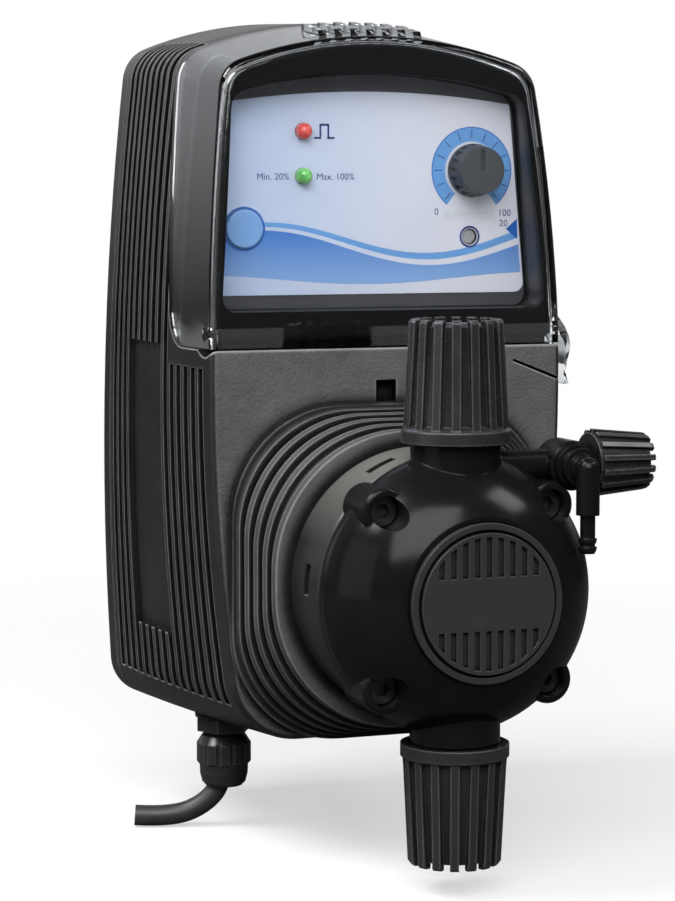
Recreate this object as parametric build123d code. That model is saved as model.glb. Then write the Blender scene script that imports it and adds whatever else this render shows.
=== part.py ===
from build123d import *
from math import cos, pi, radians, sin, tan
import os

os.makedirs("parts", exist_ok=True)

# Wall-mounted diaphragm metering pump, in millimetres.
# +Z is up, the front faces -Y, the wall is the plane Y = 0 and the origin is
# the centre of the wall bracket's screw pattern.

# ---------------------------------------------------------------- dimensions
# housing
REAR_Y = -8.0            # back of the rear cover
SEAM_Y = -18.2           # joint between rear cover and front case
BEND_Y = -60.9           # where the roof starts to fall to the front
REAR_BOW_Y = -40.8       # further stations of the bowed sides
FRONT_BOW_Y = -86.8
FRONT_Y = -112.0         # front face
WIDEST_Z = 14.0
REAR_HALF = (59.0, 60.8, 53.2)     # half widths at the low, widest and top heights
FRONT_HALF = (47.6, 57.2, 50.0)
SIDE_SWELL = 2.0         # the sides bow outwards between back and front
REAR_CROWN_Z = 125.0
BEND_CROWN_Z = 122.4
FRONT_CROWN_Z = 115.2
REAR_FLOOR_Z = -98.4
FRONT_FLOOR_Z = -97.0
REAR_ROOF_RISE = 12.0    # crown above the roof's ends
FRONT_ROOF_RISE = 9.5
REAR_ROOF_R = 12.0
FRONT_ROOF_R = 10.0
REAR_FLOOR_R = 13.0
FRONT_FLOOR_R = 22.0
LEAN_TOP_Z = 118.0       # the upper front leans back up to here
LEAN_TOP_Y = -103.6
LEAN_BULGE = 0.9
FRONT_EDGE_R = 2.4
CREASE_RISE = 6.0        # the lean starts this far above the ledge
WALL = 4.2
SIDE_SPAN = 160.0
PAST = 20.0              # how far a cutting shape runs past the body
BLOCK_BACK_Y = -89.6     # back and foot of the solid block that carries the panel
BLOCK_LOW_Z = 15.0
SOCKET_X = (-4.4, 2.2)   # signal socket above the nose
SOCKET_Z = (5.6, 12.4)
SOCKET_DEPTH = 3.5
SLIT = {"x": 49.2, "z": 14.3, "turn": 21.5, "length": 17.5, "depth": 6.0, "width": 0.8}

# screws of the rear cover
CASE_SCREWS = [(-44.0, 108.0), (44.0, 108.0), (-48.0, -87.0), (48.0, -87.0)]    # as (x, z)
POST_R = 5.0
POST_LENGTH = 26.0
PILOT_R = 2.0
PILOT_DEPTH = 18.0
COVER_SCREW_R = 1.98
COVER_SCREW_HEAD_R = 3.6
COVER_SCREW_HEAD = (REAR_Y - 0.6, REAR_Y - 3.0)
COVER_HOLE_R = 2.1
COVER_HEAD_HOLE_R = 3.9
COVER_FLOOR = 3.2        # thickness of the rear cover's back
COVER_EDGE_R = 2.2
GASKET = 0.8
GASKET_INSETS = (1.0, 2.6)

# fins along the sides
FIN_PITCH = 5.75
FIN_GROOVE = 3.3
FIN_DEPTH = 1.6
FIN_COUNT = 15
FIN_FIRST_Y = -21.85
FIN_LOW_Z = -86.0
FIN_TOP_X = 43.0
SMOOTH_LOW_Z = 16.5      # plain band under the door
PAD_FINS = (3, 8)        # first and last groove that the plain sunk pad joins
PAD_Z = (-69.0, 22.5)

# door
LEDGE_Z = 22.6
DOOR_GAP = 0.4
DOOR_WALL = 2.0
DOOR_BACK_LOW_Y = -80.0
DOOR_BACK_TOP_Y = -63.5
DOOR_BACK_R = 12.0
PIVOT_Y = -107.0
PIVOT_Z = 27.0
PIVOT_PIN_R = 2.0
PIVOT_BORE_R = 2.07
PIVOT_PIN_IN = 46.0
PIVOT_PIN_OUT = 57.0
TROUGH_R = 6.95          # room for the door's foot as it swings
TROUGH_BACK_Y = -98.0
HUB_R = 2.7              # what stays of the block round the pivot
HUB_END = 53.6
HUB_RELIEF_Y = -103.2
GRIP_COUNT = 7
GRIP_PITCH = 5.2
GRIP_WIDTH = 2.6
GRIP_Y = (-97.5, -80.0)
GRIP_FOOT_Z = (114.6, 118.0)
GRIP_PROUD = 1.5
GRIP_ROOT = 2.4          # depth of a grip rib inside the door's wall
GRIP_ARCH_R = 150.0      # the row of ribs follows the arched roof
EAR_Y = (-109.5, -99.5)
EAR_OUTER = [(56.4, 31.5), (59.4, 28.0), (61.7, 21.5), (60.5, 15.5), (61.3, 9.6)]
EAR_INNER = [(60.0, 9.3), (59.7, 15.0), (60.1, 20.6), (58.6, 24.2), (56.4, 25.4)]

# control panel
FASCIA_BACK_Y = -92.2
FASCIA_FRONT_Y = -94.2
LABEL_FRONT_Y = -94.6
WINDOW = {"low": 52.9, "top": 47.7, "z_low": 33.4, "z_side": 98.5, "crown": 105.2, "r_low": 4.0, "r_top": 6.0}
LABEL = {"low": 52.0, "top": 46.7, "z_low": 37.8, "z_side": 96.3, "crown": 99.8, "r_low": 3.0, "r_top": 1.0}
LED_X = -22.0
RED_LED_Z = 87.6
GREEN_LED_Z = 74.0
LED_R = 2.5
LED_Y = (-83.6, -91.0, -96.0)     # board, back of the lens and start of its dome
DIAL_X, DIAL_Z = 34.0, 75.8
DIAL_KNOB_R = 8.3
DIAL_KNOB_Y = (-95.3, -103.6)
DIAL_RIBS = 18
DIAL_SHAFT_R = 3.0
START_X, START_Z = -41.0, 58.0
START_R = 5.9
RANGE_X, RANGE_Z = 33.4, 55.2
RANGE_R = 2.3
DIAL_KNOB_STEP = 1.6     # height of the knob's plain foot
DIAL_KNOB_TAPER = 1.1
DIAL_FLUTE_R = 0.85
DIAL_POINTER = (1.2, 6.2, 0.7)    # width, length and depth of the pointer's slot
DIAL_BORE_Y = -101.0
BUTTON_BACK_Y = -91.6
BUTTON_EDGE_R = 0.6
BUTTON_STOP = 0.8        # collar that keeps a button behind the panel
START_FACE_Y = -95.7
RANGE_FACE_Y = -94.0
BOARD_X = (-46.0, 46.0)
BOARD_Y = (-82.0, -83.6)
BOARD_Z = (36.5, 96.0)
BOARD_POSTS = [(-38.0, 90.0), (38.0, 90.0), (-42.0, 41.0), (42.0, 41.0)]
BOARD_POST_R = 3.4
BOARD_SCREW_R = 1.28
BOARD_SCREW_HEAD_R = 2.4
BOARD_SCREW_Y = (-79.0, -88.4)
POTENTIOMETER = 15.0     # side of the potentiometer's body
POTENTIOMETER_FRONT_Y = -89.4
POTENTIOMETER_BUSH_R = 4.4
SWITCH = 6.0             # side of a switch's body
SWITCH_FRONT_Y = -88.4
SWITCH_STEM_R = 1.7
SWITCH_STEM = 1.7

# pump head, all on one axis along Y
AXIS_Z = -46.0
NOSE_Y = -134.5
NOSE_HALF = 51.0
NOSE_TIP_HALF = 44.6
NOSE_R = 34.0
NOSE_TIP_R = 41.0
NOSE_RIDGES = 5
NOSE_GROOVE = 1.5
LANTERN_R = 40.0
LANTERN_BORE_R = 29.0
SLOT_TURNS = (115.0, 175.0, 295.0, 355.0)
SLOT_Y = -147.5
SLOT_SIZE = (22.0, 4.2, 9.0)
HEAD_BACK_Y = -158.0
HEAD_R = 41.2
HEAD_WIDEST_Y = -166.0
HEAD_BACK_R = 39.4
HEAD_SHOULDER = (-161.2, 40.9)    # points of the dome's outline, as (y, radius)
HEAD_DOME = (-177.6, 35.0)
HEAD_RIM_R = 24.4
CAP_SEAT_Y = -184.6
CAP_FRONT_Y = -188.6
CAP_R = 22.9
CAP_PLATE_R = 20.2
CAP_RECESS = 1.2
CAP_GROOVE = (1.8, 1.1)           # width and depth of the grooves between the cap's ribs
CAP_RIB_PITCH = 3.6
CAP_GROOVES = 13
CAP_BAND_HALF = 7.6
SCREW_OFFSET = 25.5
SCREW_R = 2.5
SCREW_HEAD_R = 4.3
SCREW_SEAT_Y = -166.4
SCREW_HEAD = 4.4
SCREW_HEX_R = 2.4
SCREW_HEX_DEPTH = 2.6
SCREW_BOSS_R = 7.0
SCREW_BOSS_Y = -174.5
SCREW_BOSS_EDGE_R = 1.5
DIAPHRAGM_R = 33.2
DIAPHRAGM_SEAT_R = 33.4
DIAPHRAGM_FACE_Y = -161.2
CHAMBER_R = 26.0

# solenoid
POT_R = 33.0
POT_BORE_R = 30.4
POT_MOUTH_R = 4.06
ROD_ROOM_R = 6.0
POT_Y = (-58.0, -131.0)
POT_WALL = 5.0
COIL_R = (15.0, 30.0)
COIL_GAP = 0.3           # between the coil and the pot's end walls
POLE_R = 12.0
POLE_LENGTH = 19.0
POLE_HOLLOW = (7.0, 6.0)          # radius and depth
ARMATURE_R = 14.0
ARMATURE_Y = (-88.0, -124.0)
ARMATURE_ROOM = (9.2, -112.0)     # radius and depth of the spring's recess
ROD_R = 4.0
ROD_Y = (-86.0, -157.2, -160.0)   # back, shoulder and tip
ROD_TIP_R = 2.5
DISC_Y = (-148.0, -151.0, -156.6) # back, end of the slope and front
DISC_R = (14.0, 20.0)
SPRING_WIRE = 1.4
SPRING_PITCH = 3.0
SPRING_R = 7.0
SPRING_Y = -112.9
SPRING_LENGTH = 12.2

# valves, both on one axis along Z in front of the nose
VALVE_Y = -164.0
VALVE_BOSS_R = 13.2
VALVE_BOSS_ROOT = 20.0
CHANNEL_R = 2.0
CHANNEL_REACH = (14.0, 32.0)
CHANNEL_Y = -161.0
SPIGOT_R = 11.0
VALVE_REACH = 43.4       # from the head's axis to the nut's rim
SPIGOT_REACH = 56.0
CAGE_INNER_REACH = 33.0
CAGE_R = 5.2
BALL_R = 2.4
SEAT_R = 1.7
SEAT_RISE = 7.0
BALL_LIFT = 1.5
CAGE_ROOM = 0.7
NUT_FLANGE_R = 15.9
NUT_HEIGHT = 35.4
NUT_BORE_R = 11.3
NUT_MOUTH_R = 7.2
NUT_RIBS = 16
NUT_RIB_W = 2.6
NUT_RIB_R = (15.2, 13.6)          # reach of the ribs near the flange and at their ends
NUT_BODY_R = (11.9, 11.4)
NUT_FLANGE = 3.6
NUT_CASTLE = 1.6                  # how far the ribs stand above the nut's face
NUT_BORE_DEPTH = 16.2
TAIL_FLANGE = (10.6, 2.6)
TAIL_LENGTH = 20.5
TAIL_BORE_R = 1.6
SEAL_RING = (4.1, 0.96)
SEAL_WASHER = (10.4, 5.0, 0.8)    # outer and inner radius, thickness

# bleed valve
BLEED_Z = -9.7
BLEED_TEE_X = (29.0, 40.0)
BLEED_TEE_R = 7.3
BLEED_PIPE_R = 4.6
BLEED_BORE_R = 1.2
BLEED_NECK = 8.5         # length and radius of the neck that carries the knob
BLEED_NECK_R = 4.7
STEM_ROOM_R = 2.5
STEM_R = 2.44
NEEDLE_R = 1.6
ELBOW_X = 34.2
ELBOW_Y = -180.5
ELBOW_COLLAR_Y = -171.0
ELBOW_R = 3.4
ELBOW_PLUG_R = 3.0
ELBOW_COLLAR = [(6.4, 2.4), (5.0, 4.0), (5.6, 5.6), (4.0, 7.0)]   # radius and end of each step
BARB_R = 2.2
BARB_RINGS = (-29.6, -32.0)
BARB_RING_R = 2.75
BARB_STEP_Z = -23.0
BARB_LOW_Z = -34.1
KNOB_X = (42.2, 60.4)
KNOB_R = (8.9, 7.3)
KNOB_RIB = 1.1
KNOB_RIBS = 14
KNOB_RIB_W = 1.6

# cable gland and mains cord
GLAND_X, GLAND_Y = -36.5, -60.0
GLAND_TOP_Z = -98.1
GLAND_BOSS_R = 9.2
GLAND_SEAT = 5.3         # height of the locknut's seat above the boss's mouth
GLAND_THREAD_R = 5.9
GLAND_CLAMP_R = 6.2
GLAND_HEX_R = 8.9
GLAND_HEX = 4.6
LOCKNUT = 3.2
GLAND_NUT_R = 8.7
GLAND_FLUTES = 12
GLAND_FLUTE_R = 0.8
CORD_R = 3.3
CORD_ROUTE = [
    (GLAND_X, GLAND_Y, -108.0),
    (GLAND_X, GLAND_Y, -119.0),
    (-42.5, -58.5, -127.0),
    (-53.0, -55.5, -131.0),
    (-64.0, -52.0, -130.2),
]
CORD_ARC_SHARE = 0.45    # part of the shorter run that an arc takes

# wall bracket
BRACKET_W, BRACKET_H, BRACKET_T = 96.0, 92.0, 4.0
BRACKET_HOLES = (70.0, 60.0)
BRACKET_HOLE_R = 2.75
BRACKET_CORNER_R = 6.0
SPINE_W = 40.0
SPINE_END = 4.0          # the spine stops this far short of the plate's ends
SPINE_CORNER_R = 4.0
BRACKET_SCREW_ZS = (-30.0, 30.0)
BRACKET_SCREW_R = 1.9
BRACKET_SCREW_HEAD = (3.6, 2.2)   # radius and height
BRACKET_SCREW_TIP_Y = -2.0

NODES = {}


# ------------------------------------------------------------------- helpers
def front_plane(y):
    """Sketch plane at depth y, seen from the front; extrusions grow towards -Y."""
    return Plane(origin=(0, y, 0), x_dir=(1, 0, 0), z_dir=(0, -1, 0))


SIDE_PLANE = Plane(origin=(-SIDE_SPAN / 2, 0, 0), x_dir=(0, 1, 0), z_dir=(1, 0, 0))


def disc_y(x, z, r, y0, y1):
    """Cylinder along Y between two depths."""
    return extrude(front_plane(max(y0, y1)) * Pos(x, z) * Circle(r), abs(y1 - y0))


def disc_z(x, y, r, z0, z1):
    """Cylinder along Z between two heights."""
    return extrude(Plane.XY.offset(min(z0, z1)) * Pos(x, y) * Circle(r), abs(z1 - z0))


def disc_x(y, z, r, x0, x1):
    """Cylinder along X between two stations."""
    plane = Plane(origin=(min(x0, x1), 0, 0), x_dir=(0, 1, 0), z_dir=(1, 0, 0))
    return extrude(plane * Pos(y, z) * Circle(r), abs(x1 - x0))


def block(x, y, z):
    """Box between pairs of coordinates."""
    size = [abs(b - a) for a, b in (x, y, z)]
    middle = [(a + b) / 2 for a, b in (x, y, z)]
    return Pos(*middle) * Box(*size)


def turned_y(points, x=0.0, z=AXIS_Z):
    """Revolve a closed (y, radius) outline about the line along Y through (x, z)."""
    plane = Plane(origin=(x, 0, z), x_dir=(0, 1, 0), z_dir=(0, 0, -1))
    return revolve(plane * make_face(Polyline(*points, close=True)), Axis((x, 0, z), (0, 1, 0)))


def turned_z(points, x=0.0, y=VALVE_Y):
    """Revolve a closed (radius, z) outline about the line along Z through (x, y)."""
    return revolve(
        front_plane(y) * Pos(x, 0) * make_face(Polyline(*points, close=True)), Axis((x, y, 0), (0, 0, 1))
    )


def turned_x(points, y, z):
    """Revolve a closed (x, radius) outline about the line along X through (y, z)."""
    plane = Plane(origin=(0, y, z), x_dir=(1, 0, 0), z_dir=(0, -1, 0))
    return revolve(plane * make_face(Polyline(*points, close=True)), Axis((0, y, z), (1, 0, 0)))


def side_prism(points):
    """Extrude a closed (y, z) outline across the whole width."""
    return extrude(SIDE_PLANE * make_face(Polyline(*points, close=True)), SIDE_SPAN)


def mix(a, b, t):
    return a + (b - a) * t


def mirrored(shape):
    return mirror(shape, Plane.YZ)


def keep(name, *solids):
    """Store one named piece, made of one or more separate solids."""
    NODES[name] = solids[0] if len(solids) == 1 else Compound(children=list(solids))


# --------------------------------------------------------- housing envelope
def housing_outline(y, inset=0.0):
    """Cross-section of the housing at depth y: bowed sides and an arched roof."""
    t = (y - REAR_Y) / (FRONT_Y - REAR_Y)
    swell = 4 * SIDE_SWELL * t * (1 - t)
    low, widest, top = (mix(r, f, t) + swell - inset for r, f in zip(REAR_HALF, FRONT_HALF))
    if y > BEND_Y:
        crown = mix(REAR_CROWN_Z, BEND_CROWN_Z, (y - REAR_Y) / (BEND_Y - REAR_Y))
    else:
        crown = mix(BEND_CROWN_Z, FRONT_CROWN_Z, (y - BEND_Y) / (FRONT_Y - BEND_Y))
    crown -= inset
    eaves = crown - mix(REAR_ROOF_RISE, FRONT_ROOF_RISE, t)
    floor = mix(REAR_FLOOR_Z, FRONT_FLOOR_Z, t) + inset
    face = make_face(
        [
            ThreePointArc((low, floor), (widest, WIDEST_Z), (top, eaves)),
            ThreePointArc((top, eaves), (0, crown), (-top, eaves)),
            ThreePointArc((-top, eaves), (-widest, WIDEST_Z), (-low, floor)),
            Line((-low, floor), (low, floor)),
        ]
    )
    rows = face.vertices().group_by(Axis.Y)
    face = fillet(rows[-1], mix(REAR_ROOF_R, FRONT_ROOF_R, t) - inset * 0.5)
    rows = face.vertices().sort_by(Axis.Y)
    return front_plane(y) * fillet(rows[0:2], mix(REAR_FLOOR_R, FRONT_FLOOR_R, t) - inset)


def housing_loft(y_rear, y_front, inset=0.0):
    """Housing volume between two depths."""
    inner = [y for y in (REAR_BOW_Y, BEND_Y, FRONT_BOW_Y) if y_front < y < y_rear]
    stations = [y_rear] + inner + [y_front]
    return loft([housing_outline(y, inset) for y in stations], ruled=True)


def lean_cutter(inset=0.0):
    """Space in front of the leaning, slightly bowed upper front."""
    foot = (FRONT_Y + inset, LEDGE_Z + CREASE_RISE)
    head = (LEAN_TOP_Y + inset, LEAN_TOP_Z)
    bulge = ((foot[0] + head[0]) / 2 - LEAN_BULGE, (foot[1] + head[1]) / 2)
    outline = [
        ThreePointArc(foot, bulge, head),
        Line(head, (head[0] + 1, LEAN_TOP_Z + PAST)),
        Line((head[0] + 1, LEAN_TOP_Z + PAST), (FRONT_Y - PAST, LEAN_TOP_Z + PAST)),
        Line((FRONT_Y - PAST, LEAN_TOP_Z + PAST), (FRONT_Y - PAST, foot[1])),
        Line((FRONT_Y - PAST, foot[1]), foot),
    ]
    return extrude(SIDE_PLANE * make_face(outline), SIDE_SPAN)


def envelope(inset=0.0):
    """Whole front housing, seam to front, set in by the given amount."""
    body = housing_loft(SEAM_Y, FRONT_Y + inset, inset) - lean_cutter(inset)
    front_edges = body.edges().filter_by(
        lambda e: e.center().Y < FRONT_Y + inset + 12 and e.bounding_box().min.Y < LEAN_TOP_Y + inset - 0.5
    )
    rim = [e for e in front_edges if not is_crease(e)]
    return fillet(rim, FRONT_EDGE_R - inset / 3)


def is_crease(edge):
    """The level crease where the upright front turns into the leaning one, and the edges going back."""
    box = edge.bounding_box()
    level = box.max.Z - box.min.Z < 0.01 and abs(box.max.Z - LEDGE_Z - CREASE_RISE) < 0.5
    return level or box.max.Y > LEAN_TOP_Y + 12


def door_zone(gap=0.0):
    """Space of the door: above the ledge and in front of its slanting back edge."""
    low = (DOOR_BACK_LOW_Y + gap, LEDGE_Z - gap)
    top = (DOOR_BACK_TOP_Y + gap, LEAN_TOP_Z + PAST)
    face = make_face(Polyline((FRONT_Y - PAST, low[1]), low, top, (FRONT_Y - PAST, top[1]), close=True))
    corner = face.vertices().sort_by(Axis.Y)[0:2].sort_by(Axis.X)[-1]
    return extrude(SIDE_PLANE * fillet(corner, DOOR_BACK_R), SIDE_SPAN)


def panel_outline(form, y, inset=0.0):
    """Panel shape: wider at the foot, with an arched top."""
    low, top = form["low"] - inset, form["top"] - inset
    z_low, z_side, crown = form["z_low"] + inset, form["z_side"] - inset, form["crown"] - inset
    face = make_face(
        [
            Line((-low, z_low), (low, z_low)),
            Line((low, z_low), (top, z_side)),
            ThreePointArc((top, z_side), (0, crown), (-top, z_side)),
            Line((-top, z_side), (-low, z_low)),
        ]
    )
    face = fillet(face.vertices().group_by(Axis.Y)[-1], form["r_top"])
    return front_plane(y) * fillet(face.vertices().sort_by(Axis.Y)[0:2], form["r_low"])


# ------------------------------------------------------------------- housing
def fin_grooves():
    """Grooves between the fins and the sunk pads among them, all cut to one depth."""
    cuts = []
    for i in range(FIN_COUNT):
        y = FIN_FIRST_Y - i * FIN_PITCH
        under_door = y - FIN_GROOVE < DOOR_BACK_LOW_Y + 1
        top_z = SMOOTH_LOW_Z if under_door else LEAN_TOP_Z + PAST
        cuts.append(block((FIN_TOP_X, SIDE_SPAN), (y, y - FIN_GROOVE), (FIN_LOW_Z, top_z)))
    pad_rear = FIN_FIRST_Y - PAD_FINS[0] * FIN_PITCH
    pad_front = FIN_FIRST_Y - PAD_FINS[1] * FIN_PITCH - FIN_GROOVE
    cuts.append(block((FIN_TOP_X, SIDE_SPAN), (pad_rear, pad_front), PAD_Z))
    core = housing_loft(SEAM_Y + 2, FRONT_Y - 2, FIN_DEPTH)
    right = (Part() + cuts) - core
    return [right, mirrored(right)]


def nose_section(y, half, radius):
    return front_plane(y) * Pos(0, AXIS_Z) * RectangleRounded(2 * half, 2 * half, radius)


def nose():
    """Stepped cone between the front face and the lantern, ringed by ridges."""
    core = loft(
        [
            nose_section(FRONT_Y + 2, NOSE_HALF - NOSE_GROOVE, NOSE_R - NOSE_GROOVE),
            nose_section(NOSE_Y, NOSE_TIP_HALF - NOSE_GROOVE, NOSE_TIP_R - NOSE_GROOVE),
        ],
        ruled=True,
    )
    pitch = (FRONT_Y - NOSE_Y) / NOSE_RIDGES
    for i in range(NOSE_RIDGES + 1):
        share = i / NOSE_RIDGES
        half = mix(NOSE_HALF, NOSE_TIP_HALF, share)
        radius = mix(NOSE_R, NOSE_TIP_R, share)
        back = FRONT_Y + 2 if i == 0 else FRONT_Y - i * pitch + pitch * 0.58
        front = FRONT_Y - pitch * 0.42 if i == 0 else FRONT_Y - i * pitch
        ridge = loft([nose_section(back, half + 0.5, radius), nose_section(front, half, radius)], ruled=True)
        core += ridge
    return core


def front_case():
    """Front shell: fins, nose, ledge and trough of the door, and the bezel round the panel."""
    outer = envelope()
    zone = door_zone(DOOR_GAP)
    shell = outer - fin_grooves() - zone
    bezel = envelope(DOOR_WALL + DOOR_GAP) & zone
    shell = shell + bezel + nose()
    shell -= housing_loft(SEAM_Y + 1, FRONT_Y, WALL) & cavity_profile()
    shell -= extrude(panel_outline(WINDOW, FASCIA_BACK_Y), PAST)
    shell -= extrude(panel_outline(WINDOW, FASCIA_BACK_Y + 5, 3.0), 10)
    shell -= hinge_trough()
    for side in (-1, 1):
        shell -= disc_x(PIVOT_Y, PIVOT_Z, PIVOT_PIN_R, side * PIVOT_PIN_IN, side * 60)
    # bore of the solenoid, its front wall with the rod hole, and the screws of the head
    shell -= disc_y(0, AXIS_Z, POT_R + 0.15, POT_Y[1] - 0.2, FRONT_Y + 12)
    shell -= disc_y(0, AXIS_Z, ROD_ROOM_R, POT_Y[1] + 1, NOSE_Y - 1)
    for x, z in head_screw_places():
        shell -= disc_y(x, z, SCREW_R, NOSE_Y - 1, FRONT_Y - 3)
    # signal socket above the nose, and the slit beside the door's release ear
    shell -= block(SOCKET_X, (FRONT_Y - 1, FRONT_Y + SOCKET_DEPTH), SOCKET_Z)
    slit = Box(SLIT["length"], SLIT["depth"], SLIT["width"])
    shell -= Pos(SLIT["x"], FRONT_Y, SLIT["z"]) * Rot(0, SLIT["turn"], 0) * slit
    # gland hole with its spot face, and the posts for the rear cover's screws
    shell += disc_z(GLAND_X, GLAND_Y, GLAND_BOSS_R, GLAND_TOP_Z, GLAND_TOP_Z + 6)
    shell -= disc_z(GLAND_X, GLAND_Y, GLAND_BOSS_R + 0.2, GLAND_TOP_Z + GLAND_SEAT, GLAND_TOP_Z + 16)
    shell -= disc_z(GLAND_X, GLAND_Y, GLAND_THREAD_R, GLAND_TOP_Z - 1, GLAND_TOP_Z + 8)
    for x, z in CASE_SCREWS:
        post = disc_y(x, z, POST_R, SEAM_Y - 0.6, SEAM_Y - POST_LENGTH) & envelope(1.5)
        shell = shell + post - disc_y(x, z, PILOT_R, SEAM_Y + 1, SEAM_Y - PILOT_DEPTH)
    return shell


def cavity_profile():
    """Side view of the room inside the front case: deep below, shallow behind the panel."""
    return side_prism(
        [
            (SEAM_Y + 5, REAR_FLOOR_Z - PAST),
            (FRONT_Y + 5, REAR_FLOOR_Z - PAST),
            (FRONT_Y + 5, BLOCK_LOW_Z),
            (BLOCK_BACK_Y, BLOCK_LOW_Z),
            (BLOCK_BACK_Y, LEAN_TOP_Z + PAST),
            (SEAM_Y + 5, LEAN_TOP_Z + PAST),
        ]
    )


def hinge_trough():
    """Room round the pivot that the door's foot swings through, below and in front of the hub."""
    width = (-SIDE_SPAN / 2, SIDE_SPAN / 2)
    swing = disc_x(PIVOT_Y, PIVOT_Z, TROUGH_R, *width)
    below = swing & block(width, (FRONT_Y - PAST, TROUGH_BACK_Y), (LEDGE_Z - 9, LEDGE_Z - DOOR_GAP))
    beside = swing & block(width, (FRONT_Y - PAST, HUB_RELIEF_Y), (LEDGE_Z - 2 * DOOR_GAP, PIVOT_Z))
    return below + (beside - disc_x(PIVOT_Y, PIVOT_Z, HUB_R, -HUB_END, HUB_END))


def head_screw_places():
    return [(i * SCREW_OFFSET, AXIS_Z + k * SCREW_OFFSET) for i in (-1, 1) for k in (-1, 1)]


def rear_cover():
    """Shallow tray that closes the back, with two rails that hook on the bracket."""
    tray = housing_loft(REAR_Y, SEAM_Y + GASKET)
    tray = fillet(tray.faces().sort_by(Axis.Y)[-1].edges(), COVER_EDGE_R)
    tray -= housing_loft(REAR_Y - COVER_FLOOR, SEAM_Y, WALL)
    for x, z in CASE_SCREWS:
        tray += disc_y(x, z, POST_R, REAR_Y - 1, SEAM_Y + GASKET) & housing_loft(REAR_Y, SEAM_Y + GASKET, 1.5)
        tray -= disc_y(x, z, COVER_HOLE_R, REAR_Y + 1, SEAM_Y)
        tray -= disc_y(x, z, COVER_HEAD_HOLE_R, REAR_Y + 1, REAR_Y - 3.0)
    for z in BRACKET_SCREW_ZS:
        tray -= disc_y(0, z, BRACKET_SCREW_R, REAR_Y + 1, REAR_Y - 4)
    return tray


def wall_bracket():
    """Plate for the wall with a raised spine that carries the rear cover."""
    plate = extrude(front_plane(0) * RectangleRounded(BRACKET_W, BRACKET_H, BRACKET_CORNER_R), BRACKET_T)
    spine = RectangleRounded(SPINE_W, BRACKET_H - 2 * SPINE_END, SPINE_CORNER_R)
    plate += extrude(front_plane(-BRACKET_T) * spine, -REAR_Y - BRACKET_T)
    for x in (-1, 1):
        for z in (-1, 1):
            hole = (x * BRACKET_HOLES[0] / 2, z * BRACKET_HOLES[1] / 2)
            plate -= disc_y(*hole, BRACKET_HOLE_R, 1, -BRACKET_T - 1)
    for z in BRACKET_SCREW_ZS:
        plate -= disc_y(0, z, BRACKET_SCREW_R, BRACKET_SCREW_TIP_Y + 0.1, REAR_Y - 1)
    return plate


def bracket_screws():
    """Two screws through the rear cover into the bracket's spine."""
    seat = REAR_Y - COVER_FLOOR
    head_r, head = BRACKET_SCREW_HEAD
    return [
        disc_y(0, z, BRACKET_SCREW_R, BRACKET_SCREW_TIP_Y, seat) + disc_y(0, z, head_r, seat, seat - head)
        for z in BRACKET_SCREW_ZS
    ]


def case_gasket():
    outer, inner = (housing_outline(SEAM_Y + GASKET, inset) for inset in GASKET_INSETS)
    return extrude(outer, GASKET) - extrude(inner, GASKET)


def build_housing():
    keep("front_case", front_case())
    keep("rear_cover", rear_cover())
    keep("wall_bracket", wall_bracket())
    keep("bracket_screws", *bracket_screws())
    keep("case_gasket", case_gasket())
    screws = [
        disc_y(x, z, COVER_SCREW_R, REAR_Y - 3.0, SEAM_Y - 16)
        + disc_y(x, z, COVER_SCREW_HEAD_R, *COVER_SCREW_HEAD)
        for x, z in CASE_SCREWS
    ]
    keep("case_screws", *screws)
    pins = [disc_x(PIVOT_Y, PIVOT_Z, PIVOT_PIN_R, s * PIVOT_PIN_IN, s * PIVOT_PIN_OUT) for s in (-1, 1)]
    keep("door_pins", *pins)


# ---------------------------------------------------------------------- door
def release_ear():
    """Springy tab that hangs from the door's right wall, with a finger bulge."""
    outline = [
        Spline(*EAR_OUTER),
        Line(EAR_OUTER[-1], EAR_INNER[0]),
        Spline(*EAR_INNER),
        Line(EAR_INNER[-1], EAR_OUTER[0]),
    ]
    return extrude(front_plane(EAR_Y[1]) * make_face(outline), EAR_Y[1] - EAR_Y[0])


def door():
    """Clear cover of one wall thickness, open at the back and hinged at its foot."""
    body = (envelope() & door_zone()) - envelope(DOOR_WALL)
    for i in range(GRIP_COUNT):
        x = (i - (GRIP_COUNT - 1) / 2) * GRIP_PITCH
        drop = x * x / (2 * GRIP_ARCH_R)
        low = (GRIP_Y[0], GRIP_FOOT_Z[0] - drop)
        high = (GRIP_Y[1], GRIP_FOOT_Z[1] - drop)
        rise = GRIP_PROUD + GRIP_ROOT
        rib = Polyline(low, high, (high[0], high[1] + rise), (low[0] + 3, low[1] + rise + 0.8), close=True)
        plane = Plane(origin=(x - GRIP_WIDTH / 2, 0, 0), x_dir=(0, 1, 0), z_dir=(1, 0, 0))
        body += extrude(plane * make_face(rib), GRIP_WIDTH) - envelope(DOOR_WALL)
    body += release_ear()
    return body - disc_x(PIVOT_Y, PIVOT_Z, PIVOT_BORE_R, -80, PIVOT_PIN_OUT + 0.3)


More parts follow.
